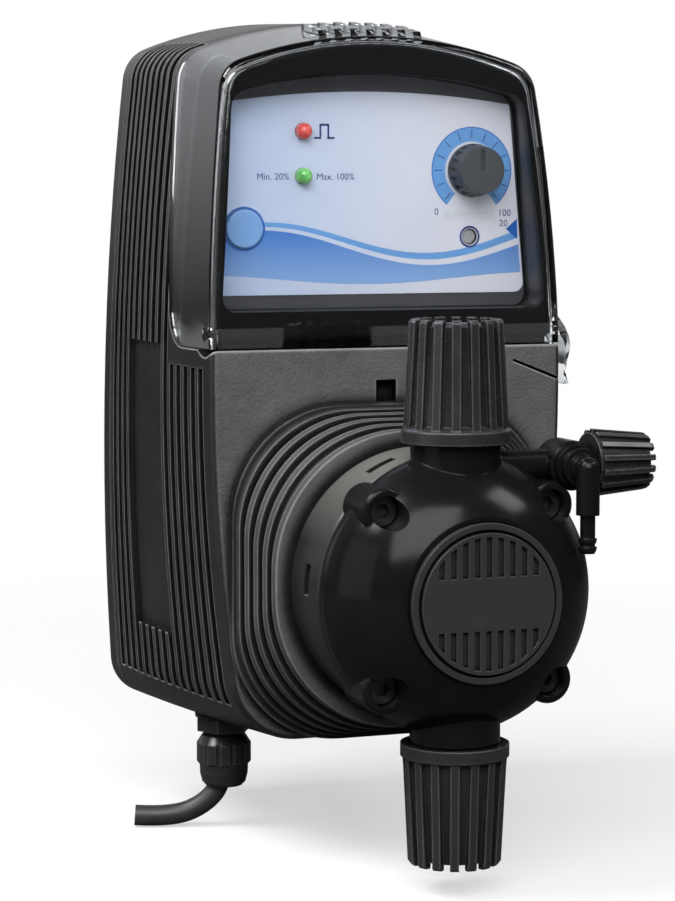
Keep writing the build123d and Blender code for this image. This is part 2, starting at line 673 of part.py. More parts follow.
# --------------------------------------------------------------------- panel
def build_panel():
    holes = [
        (LED_X, RED_LED_Z, LED_R + 0.1),
        (LED_X, GREEN_LED_Z, LED_R + 0.1),
        (DIAL_X, DIAL_Z, DIAL_SHAFT_R + 0.4),
        (START_X, START_Z, START_R + 0.15),
        (RANGE_X, RANGE_Z, RANGE_R + 0.25),
    ]
    fascia = extrude(panel_outline(WINDOW, FASCIA_BACK_Y, 0.15), FASCIA_BACK_Y - FASCIA_FRONT_Y)
    label = extrude(panel_outline(LABEL, FASCIA_FRONT_Y), FASCIA_FRONT_Y - LABEL_FRONT_Y)
    for x, z, r in holes:
        fascia -= disc_y(x, z, r, FASCIA_BACK_Y + 2, LABEL_FRONT_Y - 2)
        label -= disc_y(x, z, r, FASCIA_BACK_Y + 2, LABEL_FRONT_Y - 2)
    for x, z in BOARD_POSTS:
        fascia += disc_y(x, z, BOARD_POST_R, BOARD_Y[1], FASCIA_BACK_Y)
        fascia -= disc_y(x, z, BOARD_SCREW_R, BOARD_Y[1] + 1, BOARD_SCREW_Y[1] - 0.6)
    keep("panel_fascia", fascia)
    keep("panel_label", label)

    for name, z in (("red_led", RED_LED_Z), ("green_led", GREEN_LED_Z)):
        lens = disc_y(LED_X, z, LED_R, LED_Y[1], LED_Y[2]) + Pos(LED_X, LED_Y[2], z) * Sphere(LED_R)
        keep(name, lens + disc_y(LED_X, z, LED_R + 0.7, LED_Y[0], LED_Y[1] - 0.4))

    board = block(BOARD_X, BOARD_Y, BOARD_Z)
    screws = []
    for x, z in BOARD_POSTS:
        board -= disc_y(x, z, BOARD_SCREW_R + 0.02, BOARD_Y[0] + 1, BOARD_Y[1] - 1)
        shank = disc_y(x, z, BOARD_SCREW_R, BOARD_Y[0] + 1, BOARD_SCREW_Y[1])
        screws.append(shank + disc_y(x, z, BOARD_SCREW_HEAD_R, BOARD_SCREW_Y[0], BOARD_Y[0]))
    keep("circuit_board", board)
    keep("board_screws", *screws)

    half, front = POTENTIOMETER / 2, POTENTIOMETER_FRONT_Y
    body = block((DIAL_X - half, DIAL_X + half), (BOARD_Y[1], front), (DIAL_Z - half, DIAL_Z + half))
    bush = disc_y(DIAL_X, DIAL_Z, POTENTIOMETER_BUSH_R, front, front - 2)
    bore = disc_y(DIAL_X, DIAL_Z, DIAL_SHAFT_R + 0.06, BOARD_Y[1] - 0.4, FASCIA_BACK_Y)
    keep("potentiometer", body + bush - bore)

    switches = []
    half = SWITCH / 2
    for x, z in ((START_X, START_Z), (RANGE_X, RANGE_Z)):
        body = block((x - half, x + half), (BOARD_Y[1], SWITCH_FRONT_Y), (z - half, z + half))
        switches.append(body + disc_y(x, z, SWITCH_STEM_R, SWITCH_FRONT_Y, SWITCH_FRONT_Y - SWITCH_STEM))
    keep("tact_switches", *switches)


def build_controls():
    back, front = DIAL_KNOB_Y
    tip_r = DIAL_KNOB_R - DIAL_KNOB_TAPER
    side = [(back, 0), (back, DIAL_KNOB_R), (back - DIAL_KNOB_STEP, DIAL_KNOB_R), (front, tip_r), (front, 0)]
    knob = turned_y(side, DIAL_X, DIAL_Z)
    for i in range(DIAL_RIBS):
        a = radians(360 * i / DIAL_RIBS)
        x, z = DIAL_X + DIAL_KNOB_R * cos(a), DIAL_Z + DIAL_KNOB_R * sin(a)
        knob -= disc_y(x, z, DIAL_FLUTE_R, back - DIAL_KNOB_STEP - 0.2, front - 1)
    width, length, depth = DIAL_POINTER
    slot_x = (DIAL_X - width / 2, DIAL_X + width / 2)
    knob -= block(slot_x, (front + depth, front - 1), (DIAL_Z, DIAL_Z + length))
    knob -= disc_y(DIAL_X, DIAL_Z, DIAL_SHAFT_R, back + 1, DIAL_BORE_Y)
    keep("dial_knob", knob)
    keep("dial_shaft", disc_y(DIAL_X, DIAL_Z, DIAL_SHAFT_R, BOARD_Y[1] - 0.6, DIAL_BORE_Y))

    for name, x, z, r, face in (
        ("start_button", START_X, START_Z, START_R, START_FACE_Y),
        ("range_button", RANGE_X, RANGE_Z, RANGE_R, RANGE_FACE_Y),
    ):
        button = disc_y(x, z, r, BUTTON_BACK_Y, face)
        button = fillet(button.faces().sort_by(Axis.Y)[0].edges(), BUTTON_EDGE_R)
        keep(name, button + disc_y(x, z, r + BUTTON_STOP, BUTTON_BACK_Y + 0.7, BUTTON_BACK_Y - 0.1))


# ------------------------------------------------------------------ solenoid
def build_solenoid():
    back, front = POT_Y
    pot = [(back, 0), (back, POT_R), (front, POT_R), (front, POT_MOUTH_R), (front + POT_WALL, POT_MOUTH_R),
           (front + POT_WALL, POT_BORE_R), (back - POT_WALL, POT_BORE_R), (back - POT_WALL, 0)]
    keep("solenoid_pot", turned_y(pot))
    tail, face = back - POT_WALL - COIL_GAP, front + POT_WALL + COIL_GAP
    inner, outer = COIL_R
    keep("solenoid_coil", turned_y([(tail, inner), (tail, outer), (face, outer), (face, inner)]))
    # the pole piece is hollowed at its front and the armature at its back, for the rod's tail
    pole_back, pole_front = back - POT_WALL, back - POT_WALL - POLE_LENGTH
    hollow_r, hollow = POLE_HOLLOW
    pole = [(pole_back, 0), (pole_back, POLE_R), (pole_front, POLE_R), (pole_front, hollow_r),
            (pole_front + hollow, hollow_r), (pole_front + hollow, 0)]
    keep("pole_piece", turned_y(pole))
    tail, face = ARMATURE_Y
    room_r, room_y = ARMATURE_ROOM
    armature = [(tail, ROD_R), (tail, ARMATURE_R), (face, ARMATURE_R), (face, room_r),
                (room_y, room_r), (room_y, ROD_R)]
    keep("armature", turned_y(armature))
    rod_back, shoulder, tip = ROD_Y
    keep("push_rod", turned_y([(rod_back, 0), (rod_back, ROD_R), (shoulder, ROD_R), (shoulder, ROD_TIP_R),
                               (tip, ROD_TIP_R), (tip, 0)]))
    disc_back, disc_step, disc_front = DISC_Y
    disc_hub_r, disc_r = DISC_R
    keep("diaphragm_disc", turned_y([(disc_back, ROD_R), (disc_back, disc_hub_r), (disc_step, disc_r),
                                     (disc_front, disc_r), (disc_front, ROD_R)]))

    # return spring of square wire round the rod, from the armature's recess to the pot's front wall
    helix = Helix(
        pitch=SPRING_PITCH,
        height=SPRING_LENGTH,
        radius=SPRING_R,
        center=(0, SPRING_Y, AXIS_Z),
        direction=(0, -1, 0),
    )
    start = Plane(origin=helix @ 0, x_dir=(0, 1, 0), z_dir=helix % 0)
    wire = start * Rectangle(SPRING_WIRE, SPRING_WIRE)
    keep("return_spring", sweep(wire, path=helix, is_frenet=True))


# ---------------------------------------------------------------- pump head
def lantern():
    """Ring between nose and head, with slots that show a leaking diaphragm."""
    rebate_y = HEAD_BACK_Y + 1.6
    ring = turned_y(
        [(NOSE_Y, LANTERN_BORE_R), (NOSE_Y, LANTERN_R), (HEAD_BACK_Y + 1.5, LANTERN_R),
         (HEAD_BACK_Y, LANTERN_R - 1.2), (HEAD_BACK_Y, DIAPHRAGM_SEAT_R), (rebate_y, DIAPHRAGM_SEAT_R),
         (rebate_y, LANTERN_BORE_R)]
    )
    for turn in SLOT_TURNS:
        slot = Pos(LANTERN_R - 5, SLOT_Y, 0) * Box(*SLOT_SIZE)
        ring -= Pos(0, 0, AXIS_Z) * Rot(0, -turn, 0) * slot
    for x, z in head_screw_places():
        ring -= disc_y(x, z, SCREW_R + 0.2, NOSE_Y + 1, HEAD_BACK_Y - 1)
    return ring


def diaphragm():
    """Thick flexing centre and a thin rim clamped between lantern and head."""
    hub_r = CHAMBER_R - 5
    rim_back, rim_front = HEAD_BACK_Y + 1.4, HEAD_BACK_Y
    disc = turned_y(
        [(ROD_Y[1], 0), (ROD_Y[1], hub_r), (rim_back, CHAMBER_R), (rim_back, DIAPHRAGM_R),
         (rim_front, DIAPHRAGM_R), (rim_front, CHAMBER_R), (DIAPHRAGM_FACE_Y, hub_r), (DIAPHRAGM_FACE_Y, 0)]
    )
    return disc - disc_y(0, AXIS_Z, ROD_TIP_R, DISC_Y[2] + 0.6, ROD_Y[2])


def valve_spigot(sign):
    """Boss and threaded spigot of one valve, up or down from the head's axis."""
    reach = AXIS_Z + sign * VALVE_REACH
    tip = AXIS_Z + sign * SPIGOT_REACH
    boss = disc_z(0, VALVE_Y, VALVE_BOSS_R, AXIS_Z + sign * VALVE_BOSS_ROOT, reach)
    boss -= disc_y(0, AXIS_Z, LANTERN_R + 0.4, NOSE_Y, HEAD_BACK_Y)
    collar = disc_z(0, VALVE_Y, SPIGOT_R, reach, tip)
    return boss + collar


def pump_head():
    """Domed head with screw bosses, two valve spigots and the bleed port."""
    plane = Plane(origin=(0, 0, AXIS_Z), x_dir=(0, 1, 0), z_dir=(0, 0, -1))
    rim_y = CAP_SEAT_Y - CAP_RECESS
    well_r = CAP_R + 0.25
    outline = [
        Line((HEAD_BACK_Y, 0), (HEAD_BACK_Y, HEAD_BACK_R)),
        ThreePointArc((HEAD_BACK_Y, HEAD_BACK_R), HEAD_SHOULDER, (HEAD_WIDEST_Y, HEAD_R)),
        ThreePointArc((HEAD_WIDEST_Y, HEAD_R), HEAD_DOME, (rim_y, HEAD_RIM_R)),
        Line((rim_y, HEAD_RIM_R), (rim_y, well_r)),
        Line((rim_y, well_r), (CAP_SEAT_Y, well_r)),
        Line((CAP_SEAT_Y, well_r), (CAP_SEAT_Y, 0)),
        Line((CAP_SEAT_Y, 0), (HEAD_BACK_Y, 0)),
    ]
    head = revolve(plane * make_face(outline), Axis((0, 0, AXIS_Z), (0, 1, 0)))
    for x, z in head_screw_places():
        boss = disc_y(x, z, SCREW_BOSS_R, HEAD_BACK_Y, SCREW_BOSS_Y)
        head += fillet(boss.faces().sort_by(Axis.Y)[0].edges(), SCREW_BOSS_EDGE_R)
    for sign in (1, -1):
        head += valve_spigot(sign)
    for x, z in head_screw_places():
        head -= disc_y(x, z, SCREW_R + 0.2, HEAD_BACK_Y + 1, SCREW_SEAT_Y - 1)
        head -= disc_y(x, z, SCREW_HEAD_R + 0.35, SCREW_SEAT_Y, CAP_SEAT_Y - PAST)
    # pumping chamber, diaphragm seat, channels and cage bores
    chamber_y = DIAPHRAGM_FACE_Y - 2.8
    head -= turned_y(
        [(HEAD_BACK_Y + 1, 0), (HEAD_BACK_Y + 1, CHAMBER_R), (HEAD_BACK_Y, CHAMBER_R),
         (DIAPHRAGM_FACE_Y - 0.4, CHAMBER_R - 5), (chamber_y, CHAMBER_R - 8), (chamber_y, 0)]
    )
    near, far = CHANNEL_REACH
    for sign in (1, -1):
        head -= disc_z(0, CHANNEL_Y, CHANNEL_R, AXIS_Z + sign * near, AXIS_Z + sign * far)
        inner, outer = CAGE_INNER_REACH - 2, SPIGOT_REACH + 4
        head -= disc_z(0, VALVE_Y, CAGE_R + 0.06, AXIS_Z + sign * inner, AXIS_Z + sign * outer)
    # bleed port, and room for the bleed valve beside the screw boss
    head -= disc_x(VALVE_Y, BLEED_Z, BLEED_PIPE_R, 8.6, 14)
    head -= disc_x(VALVE_Y, BLEED_Z, BLEED_PIPE_R + 0.3, 14, LANTERN_R + PAST)
    head -= disc_y(ELBOW_X, BLEED_Z, BLEED_TEE_R + 0.3, HEAD_BACK_Y + 2, CAP_SEAT_Y)
    head -= disc_x(VALVE_Y, BLEED_Z, BLEED_BORE_R, 4, 12)
    return head


def head_cap():
    """Round cap: outer ring, ribbed plate and a plain band across it."""
    ring = disc_y(0, AXIS_Z, CAP_R, CAP_SEAT_Y, CAP_FRONT_Y + 0.8)
    ring -= disc_y(0, AXIS_Z, CAP_PLATE_R + 0.9, CAP_SEAT_Y - 1.6, CAP_FRONT_Y - 1)
    plate = disc_y(0, AXIS_Z, CAP_PLATE_R, CAP_SEAT_Y, CAP_FRONT_Y)
    inside = disc_y(0, AXIS_Z, CAP_PLATE_R - 1.2, CAP_FRONT_Y + 2, CAP_FRONT_Y - 2)
    band = (AXIS_Z - CAP_BAND_HALF, AXIS_Z + CAP_BAND_HALF)
    inside -= block((-CAP_R, CAP_R), (CAP_FRONT_Y + 2, CAP_FRONT_Y - 2), band)
    width, depth = CAP_GROOVE
    height = (AXIS_Z - CAP_R, AXIS_Z + CAP_R)
    for i in range(CAP_GROOVES):
        x = (i - (CAP_GROOVES - 1) / 2) * CAP_RIB_PITCH
        groove = block((x - width / 2, x + width / 2), (CAP_FRONT_Y + depth, CAP_FRONT_Y - 1), height)
        plate -= groove & inside
    return ring + plate


def build_head():
    keep("lantern", lantern())
    keep("diaphragm", diaphragm())
    keep("pump_head", pump_head())
    keep("head_cap", head_cap())
    screws = []
    for x, z in head_screw_places():
        front = SCREW_SEAT_Y - SCREW_HEAD
        screw = disc_y(x, z, SCREW_R, FRONT_Y - 5, SCREW_SEAT_Y)
        screw += disc_y(x, z, SCREW_HEAD_R, SCREW_SEAT_Y, front)
        socket = front_plane(front + SCREW_HEX_DEPTH) * Pos(x, z) * RegularPolygon(SCREW_HEX_R, 6)
        hexagon = extrude(socket, 5)
        screws.append(screw - hexagon)
    keep("head_screws", *screws)


# -------------------------------------------------------------------- valves
def valve_cage(low, high):
    """Cage with the ball's seat in its lower part and a wider chamber above."""
    seat = low + SEAT_RISE
    room = BALL_R + CAGE_ROOM
    roof = ball_centre(low) + BALL_R + BALL_LIFT + 0.03
    bore = [(0, low - 1), (SEAT_R, low - 1), (SEAT_R, seat), (room, seat + room - SEAT_R),
            (room, roof), (SEAT_R, roof), (SEAT_R, high + 1), (0, high + 1)]
    return disc_z(0, VALVE_Y, CAGE_R, low, high) - turned_z(bore)


def ball_centre(low):
    """Height at which the ball rests on the edge of the seat."""
    return low + SEAT_RISE + (BALL_R**2 - SEAT_R**2) ** 0.5 + 0.02


def union_nut():
    """Ribbed union nut, rim at z = 0 and mouth at the top."""
    top = NUT_HEIGHT - NUT_CASTLE
    foot_r, top_r = NUT_BODY_R
    body = turned_z(
        [(NUT_BORE_R, 0), (NUT_FLANGE_R, 0), (NUT_FLANGE_R, NUT_FLANGE), (foot_r + 2.1, NUT_FLANGE + 1.6),
         (foot_r, top - 0.2), (top_r, top), (NUT_MOUTH_R, top), (NUT_MOUTH_R, NUT_BORE_DEPTH),
         (NUT_BORE_R, NUT_BORE_DEPTH)],
        0, 0,
    )
    root_r = NUT_BORE_R - 0.5
    low_r, high_r = NUT_RIB_R
    foot = NUT_FLANGE + 0.4
    rib = make_face(
        Polyline((root_r, foot), (low_r, foot), (low_r - 0.2, foot + 2.5), (high_r, NUT_HEIGHT - 0.8),
                 (high_r - 0.7, NUT_HEIGHT), (root_r, NUT_HEIGHT), close=True)
    )
    inside = disc_z(0, 0, NUT_BORE_R - 0.2, 0, NUT_HEIGHT + 1)
    for i in range(NUT_RIBS):
        blade = Rot(0, 0, 360 * i / NUT_RIBS) * extrude(Plane.XZ.offset(-NUT_RIB_W / 2) * rib, NUT_RIB_W)
        body += blade - inside
    return body


def hose_tail():
    """Flanged hose tail, flange face at z = 0 and nipple upwards."""
    flange_r, flange = TAIL_FLANGE
    outline = [(TAIL_BORE_R, 0), (flange_r, 0), (flange_r, flange), (4.4, flange), (3.9, 6.5), (3.9, 12.0),
               (2.9, 13.2), (2.9, 18.5), (2.0, TAIL_LENGTH), (TAIL_BORE_R, TAIL_LENGTH)]
    return turned_z(outline, 0, 0)


def build_valves():
    rings = []
    for name, sign in (("discharge", 1), ("suction", -1)):
        inner = AXIS_Z + sign * CAGE_INNER_REACH
        outer = AXIS_Z + sign * (SPIGOT_REACH - 0.2)
        low, high = min(inner, outer), max(inner, outer)
        keep(name + "_cage", valve_cage(low, high))
        keep(name + "_ball", Pos(0, VALVE_Y, ball_centre(low)) * Sphere(BALL_R))
        rings.append(Pos(0, VALVE_Y, inner - sign) * Torus(*SEAL_RING))
        outer_r, inner_r, thickness = SEAL_WASHER
        washer_z = AXIS_Z + sign * SPIGOT_REACH
        washer = disc_z(0, VALVE_Y, outer_r, washer_z, washer_z + sign * thickness)
        rings.append(washer - disc_z(0, VALVE_Y, inner_r, washer_z - 1, washer_z + 1))
        place = Pos(0, VALVE_Y, 0) if sign > 0 else Pos(0, VALVE_Y, 0) * Rot(180, 0, 0)
        keep(name + "_nut", Pos(0, 0, AXIS_Z + sign * (VALVE_REACH + 0.4)) * place * union_nut())
        keep(name + "_tail", Pos(0, 0, washer_z + sign * thickness) * place * hose_tail())
    keep("valve_seals", *rings)


# --------------------------------------------------------------------- bleed
def build_bleed():
    x0, x1 = BLEED_TEE_X
    neck = x1 + BLEED_NECK
    back, front, r = VALVE_Y + 5.4, ELBOW_COLLAR_Y, BLEED_TEE_R
    tee = [(back, 0), (back, r - 0.7), (back - 0.7, r), (front + 0.7, r), (front, r - 0.7), (front, 0)]
    body = disc_x(VALVE_Y, BLEED_Z, BLEED_PIPE_R, 9.0, x0 + 2)
    body += disc_x(VALVE_Y, BLEED_Z, BLEED_NECK_R, x1, neck)
    body += turned_y(tee, ELBOW_X, BLEED_Z)
    body -= disc_x(VALVE_Y, BLEED_Z, BLEED_BORE_R, 8, x0 + 2)
    body -= disc_x(VALVE_Y, BLEED_Z, STEM_ROOM_R, x0 + 2, neck + 1)
    body -= disc_y(ELBOW_X, BLEED_Z, ELBOW_PLUG_R + 0.06, VALVE_Y - 3.6, ELBOW_COLLAR_Y - 1)
    body -= disc_y(ELBOW_X, BLEED_Z, BLEED_BORE_R, VALVE_Y, ELBOW_COLLAR_Y)
    keep("bleed_body", body)
    keep("bleed_elbow", bleed_elbow())

    tip = x0 + 4
    needle = [(tip, 0), (tip + NEEDLE_R, NEEDLE_R), (x1 - 4, NEEDLE_R), (x1 - 3, STEM_R),
              (neck + 3, STEM_R), (neck + 3, 0)]
    keep("bleed_needle", turned_x(needle, VALVE_Y, BLEED_Z))

    k0, k1 = KNOB_X
    r0, r1 = KNOB_R
    sleeve_r, crown_r = BLEED_NECK_R + 0.3, BLEED_NECK_R + 0.5
    knob = turned_x(
        [(k0, sleeve_r), (k0, r0), (k1 - 1.4, r1), (k1 - 1.4, crown_r), (neck + 5.4, crown_r),
         (neck + 5.4, 0), (neck + 3.05, 0), (neck + 3.05, STEM_ROOM_R), (neck + 0.6, STEM_ROOM_R),
         (neck + 0.6, sleeve_r)],
        VALVE_Y,
        BLEED_Z,
    )
    rib = make_face(
        Polyline((k0 + 0.8, r0 - 1), (k0 + 0.8, r0 + KNOB_RIB), (k1 - 0.8, r1 + KNOB_RIB), (k1, r1 + 0.5),
                 (k1, r1 - 1), close=True)
    )
    for i in range(KNOB_RIBS):
        turn = Pos(0, VALVE_Y, BLEED_Z) * Rot(360 * i / KNOB_RIBS, 0, 0)
        knob += turn * extrude(Plane.XZ.offset(-KNOB_RIB_W / 2) * rib, KNOB_RIB_W)
    keep("bleed_knob", knob)


def bleed_elbow():
    """Swivelling outlet: stepped collar, bend and a barb with two rings."""
    face = ELBOW_COLLAR_Y - 0.3
    outline = [(face, 0)]
    start = face
    for radius, end in ELBOW_COLLAR:
        outline += [(start, radius), (ELBOW_COLLAR_Y - end, radius)]
        start = ELBOW_COLLAR_Y - end - 0.1
    elbow = turned_y(outline + [(outline[-1][0], 0)], ELBOW_X, BLEED_Z)
    elbow += disc_y(ELBOW_X, BLEED_Z, ELBOW_PLUG_R, VALVE_Y - 3.9, ELBOW_Y)
    elbow += disc_y(ELBOW_X, BLEED_Z, ELBOW_R, ELBOW_COLLAR_Y - 6, ELBOW_Y)
    elbow += Pos(ELBOW_X, ELBOW_Y, BLEED_Z) * Sphere(ELBOW_R)
    barb = [(0, BLEED_Z), (ELBOW_R, BLEED_Z), (ELBOW_R, BARB_STEP_Z), (BARB_R, BARB_STEP_Z)]
    for ring in BARB_RINGS:
        barb += [(BARB_R, ring), (BARB_RING_R, ring - 0.2)]
        barb += [(BARB_RING_R - 0.25, ring - 1.5), (BARB_R, ring - 1.6)]
    elbow += turned_z(barb + [(BARB_R, BARB_LOW_Z), (0, BARB_LOW_Z)], ELBOW_X, ELBOW_Y)
    elbow -= disc_z(ELBOW_X, ELBOW_Y, BLEED_BORE_R, BARB_LOW_Z - 1, BLEED_Z)
    return elbow - disc_y(ELBOW_X, BLEED_Z, BLEED_BORE_R, VALVE_Y, ELBOW_Y)


# --------------------------------------------------------------- cable entry
def build_cable_entry():
    top = GLAND_TOP_Z
    axis = (GLAND_X, GLAND_Y)
    hexagon = Pos(*axis) * RegularPolygon(GLAND_HEX_R, 6)
    body = extrude(Plane.XY.offset(top - GLAND_HEX) * hexagon, GLAND_HEX)
    body += disc_z(*axis, GLAND_CLAMP_R, top - 12, top - 4) + disc_z(*axis, GLAND_THREAD_R, top - 1, top + 9)
    keep("gland_body", body - disc_z(*axis, CORD_R + 0.4, top - 13, top + 10))
    locknut = extrude(Plane.XY.offset(top + GLAND_SEAT + 0.1) * hexagon, LOCKNUT)
    keep("gland_locknut", locknut - disc_z(*axis, GLAND_THREAD_R + 0.02, top, top + 10))

    # the nut's skirt, its fluted grip and the cone that closes on the seal
    bore_r = GLAND_CLAMP_R + 0.15
    nut = turned_z(
        [(bore_r, top - 6.2), (7.0, top - 6.0), (GLAND_NUT_R, top - 8.6), (GLAND_NUT_R, top - 14.6),
         (7.8, top - 15.6), (7.7, top - 18.4), (7.0, top - 21.2), (5.9, top - 22.4), (5.3, top - 22.4),
         (3.8, top - 16.6), (bore_r, top - 15.2)],
        *axis,
    )
    for i in range(GLAND_FLUTES):
        a = radians(360 * i / GLAND_FLUTES)
        reach = GLAND_NUT_R + 0.3
        nut -= disc_z(GLAND_X + reach * cos(a), GLAND_Y + reach * sin(a), GLAND_FLUTE_R, top - 16, top - 8)
    keep("gland_nut", nut)
    seal = [(CORD_R, top - 12.2), (GLAND_CLAMP_R, top - 12.2), (GLAND_CLAMP_R, top - 14.8), (3.9, top - 16.0),
            (CORD_R, top - 16.0)]
    keep("gland_seal", turned_z(seal, *axis))

    radii = []
    for a, b, c in zip(CORD_ROUTE, CORD_ROUTE[1:], CORD_ROUTE[2:]):
        before, after = Vector(*b) - Vector(*a), Vector(*c) - Vector(*b)
        shorter = min(before.length, after.length)
        radii.append(CORD_ARC_SHARE * shorter / tan(radians(before.get_angle(after)) / 2))
    path = FilletPolyline(*CORD_ROUTE, radius=radii)
    tube = sweep(Plane(origin=path @ 0, z_dir=path % 0) * Circle(CORD_R), path=path)
    keep("power_cord", tube)
    print("cord arc radii", [round(r, 1) for r in radii], "length", round(path.length, 1))
    print("cord volume", round(tube.volume, 1), "section x length", round(pi * CORD_R**2 * path.length, 1))


def main():
    build_housing()
    keep("door", door())
    build_panel()
    build_controls()
    build_solenoid()
    build_head()
    build_valves()
    build_bleed()
    build_cable_entry()
    for name, shape in NODES.items():
        export_step(shape, f"parts/{name}.step")
    print(len(NODES), "nodes")


main()
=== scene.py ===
import math

import bmesh
import bpy
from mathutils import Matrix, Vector


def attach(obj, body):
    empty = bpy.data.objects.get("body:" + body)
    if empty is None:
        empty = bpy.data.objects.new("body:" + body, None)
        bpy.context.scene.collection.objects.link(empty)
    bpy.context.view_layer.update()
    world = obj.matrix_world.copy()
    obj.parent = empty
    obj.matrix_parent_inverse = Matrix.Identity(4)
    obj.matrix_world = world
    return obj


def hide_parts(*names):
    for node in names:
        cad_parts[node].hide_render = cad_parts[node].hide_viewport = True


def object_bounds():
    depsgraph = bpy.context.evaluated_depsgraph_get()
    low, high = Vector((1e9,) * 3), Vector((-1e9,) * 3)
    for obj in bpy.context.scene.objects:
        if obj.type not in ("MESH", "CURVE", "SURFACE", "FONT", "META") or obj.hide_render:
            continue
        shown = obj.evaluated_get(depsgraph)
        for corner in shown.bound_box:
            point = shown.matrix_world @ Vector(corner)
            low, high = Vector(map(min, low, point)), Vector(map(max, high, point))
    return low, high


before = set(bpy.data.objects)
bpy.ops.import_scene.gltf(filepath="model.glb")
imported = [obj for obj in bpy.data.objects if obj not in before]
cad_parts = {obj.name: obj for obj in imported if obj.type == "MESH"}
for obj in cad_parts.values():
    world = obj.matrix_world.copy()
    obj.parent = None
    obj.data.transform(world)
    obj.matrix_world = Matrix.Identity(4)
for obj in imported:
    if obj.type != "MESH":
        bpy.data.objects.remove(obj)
CAD_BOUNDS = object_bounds()

MM = 0.001
FLOOR_Z = CAD_BOUNDS[0][2]        # metres: the pump's lowest point

# ------------------------------------------- label and its print, millimetres
LABEL_Y = -94.6                   # printed face of the panel label
INK_STEP = 0.03                   # each layer of print stands this far in front of the last
LABEL_FOOT_Z = 37.8
LABEL_SIDE_Z = 96.3               # where the straight sides end
LABEL_HALF = (52.0, 46.7)         # half width at the foot and at the top of the sides
PRINT_MARGIN = 0.6                # bare strip along the sides

LED_X, RED_LED_Z, GREEN_LED_Z = -22.0, 87.6, 74.0
START = (-41.0, 58.0)
START_RING = (6.15, 6.75)
RANGE_KEY = (33.4, 55.2)
RANGE_RING = (2.75, 3.4)
RANGE_FIELD = (8.6, 5.4, 8.0)     # half width, lower and upper edge above the key
POINTER_LENGTH = 3.9
POINTER_Z = (-0.8, 2.4, 5.6)      # foot, tip and head above the range key

DIAL = (34.0, 75.8)
DIAL_RING = (9.0, 13.2)
DIAL_RIM = 0.35
DIAL_SWEEP = (-52, 232)           # degrees
TICK_COUNT, TICK_FIRST, TICK_STEP = 13, -45, 22.5
TICK_INSET = (0.9, 0.5)           # from the ring's inner and outer edge
TICK_WIDTH = 0.28

WAVE_TURNS = 0.9                  # periods across the label
WAVE_CREST = (52.0, 5.5, 0.12)    # mean height, swing and phase of the upper edge
WAVE_FOOT = (42.4, 1.6, 0.30)     # and of the lower edge
WAVE_LINE = ((0.9, 1.2), (2.1, 2.4))    # edges of the thin line: gap over the crest, and its growth
WAVE_FADE = (60.0, 41.0)          # heights between which the blue pales

PULSE_START = (4.0, -2.0)         # from the red lamp
PULSE = [(0, 0), (1.7, 0), (1.7, 4.0), (4.3, 4.0), (4.3, 0), (6.0, 0)]
PULSE_WIDTH = 0.6

CAPITAL_SHARE = 0.7               # height of a capital in the type size
LETTERING = {
    "text_min": ("Min. 20%", LED_X - 4.4, GREEN_LED_Z - 1.1, 2.0, "RIGHT"),
    "text_max": ("Max. 100%", LED_X + 4.4, GREEN_LED_Z - 1.1, 2.0, "LEFT"),
    "text_hundred": ("100", DIAL[0] + 9.0, DIAL[1] - 14.2, 2.1, "LEFT"),
    "text_twenty": ("20", DIAL[0] + 9.4, DIAL[1] - 17.4, 2.1, "LEFT"),
    "text_zero": ("0", DIAL[0] - 12.6, DIAL[1] - 13.8, 2.1, "LEFT"),
}

# ------------------------------------------------------------ cord, millimetres
CORD_R = 3.3
CORD_ROUTE = [
    (-36.5, -60.0, -108.0),
    (-36.5, -60.0, -119.0),
    (-42.5, -58.5, -127.0),
    (-53.0, -55.5, -131.0),
    (-64.0, -52.0, -130.2),
]

# ----------------------------------------------- places where the housing changes
GRAINED_BELOW_Z = (24.0, 22.0)    # the grained front face ends under the door
NOSE_Y = (-112.2, -112.8)         # the nose stands in front of this

# -------------------------------------------------- noise scales, cycles a metre
FLOW = 24.0
PATCHES = 90.0
SCUFFS = 110.0
GRAIN = 1400.0
SPARKS = 1100.0
PRINT_GRAIN = 800.0

# ------------------------------------------------------------ bump depths, metres
MOULD_BUMP = 0.00004
SPARK_BUMP = 0.00007
RUBBER_BUMP = 0.00005
CLEAR_BUMP = 0.00003
METAL_BUMP = 0.00002
PRINT_BUMP = 0.00001

# -------------------------------------------------------- the photograph's camera
EYE = (-312.9, -903.6, 71.7)      # millimetres
YAW, PITCH = 20.5, -5.44          # degrees
FOCAL = 2800.0                    # in pixels of the 675 pixel wide image
IMAGE_W = 675.0
SENSOR = 36.0
SIGHT = 20.0                      # metres

# ------------------------------------------------------ lamps and studio, metres
LAMP_TARGET = (0, -0.1, 0)
LAMPS = {                         # place, size and watts
    "key": ((-0.45, -1.15, 0.95), (1.3, 1.0), 25),
    "left_soft": ((-1.25, -0.25, 0.25), (0.9, 0.9), 1.8),
    "top_left": ((-0.75, -0.10, 0.95), (0.5, 0.5), 13),
    "right_high": ((0.80, -0.50, 0.90), (0.4, 0.4), 3.5),
}
ROOM = (0.030, 0.030, 0.032)
BACKDROP = (0.62, 0.63, 0.65)
BACKDROP_BEHIND = (0.35, 0.85)    # fades in between these shares of the way to +Y
BACKDROP_ABOVE = (-0.02, 0.14)    # and between these heights of the view
FLOOR_HALF = 6.0
PAPER_REACH = (0.16, 0.55)        # the paper runs into the backdrop between these distances


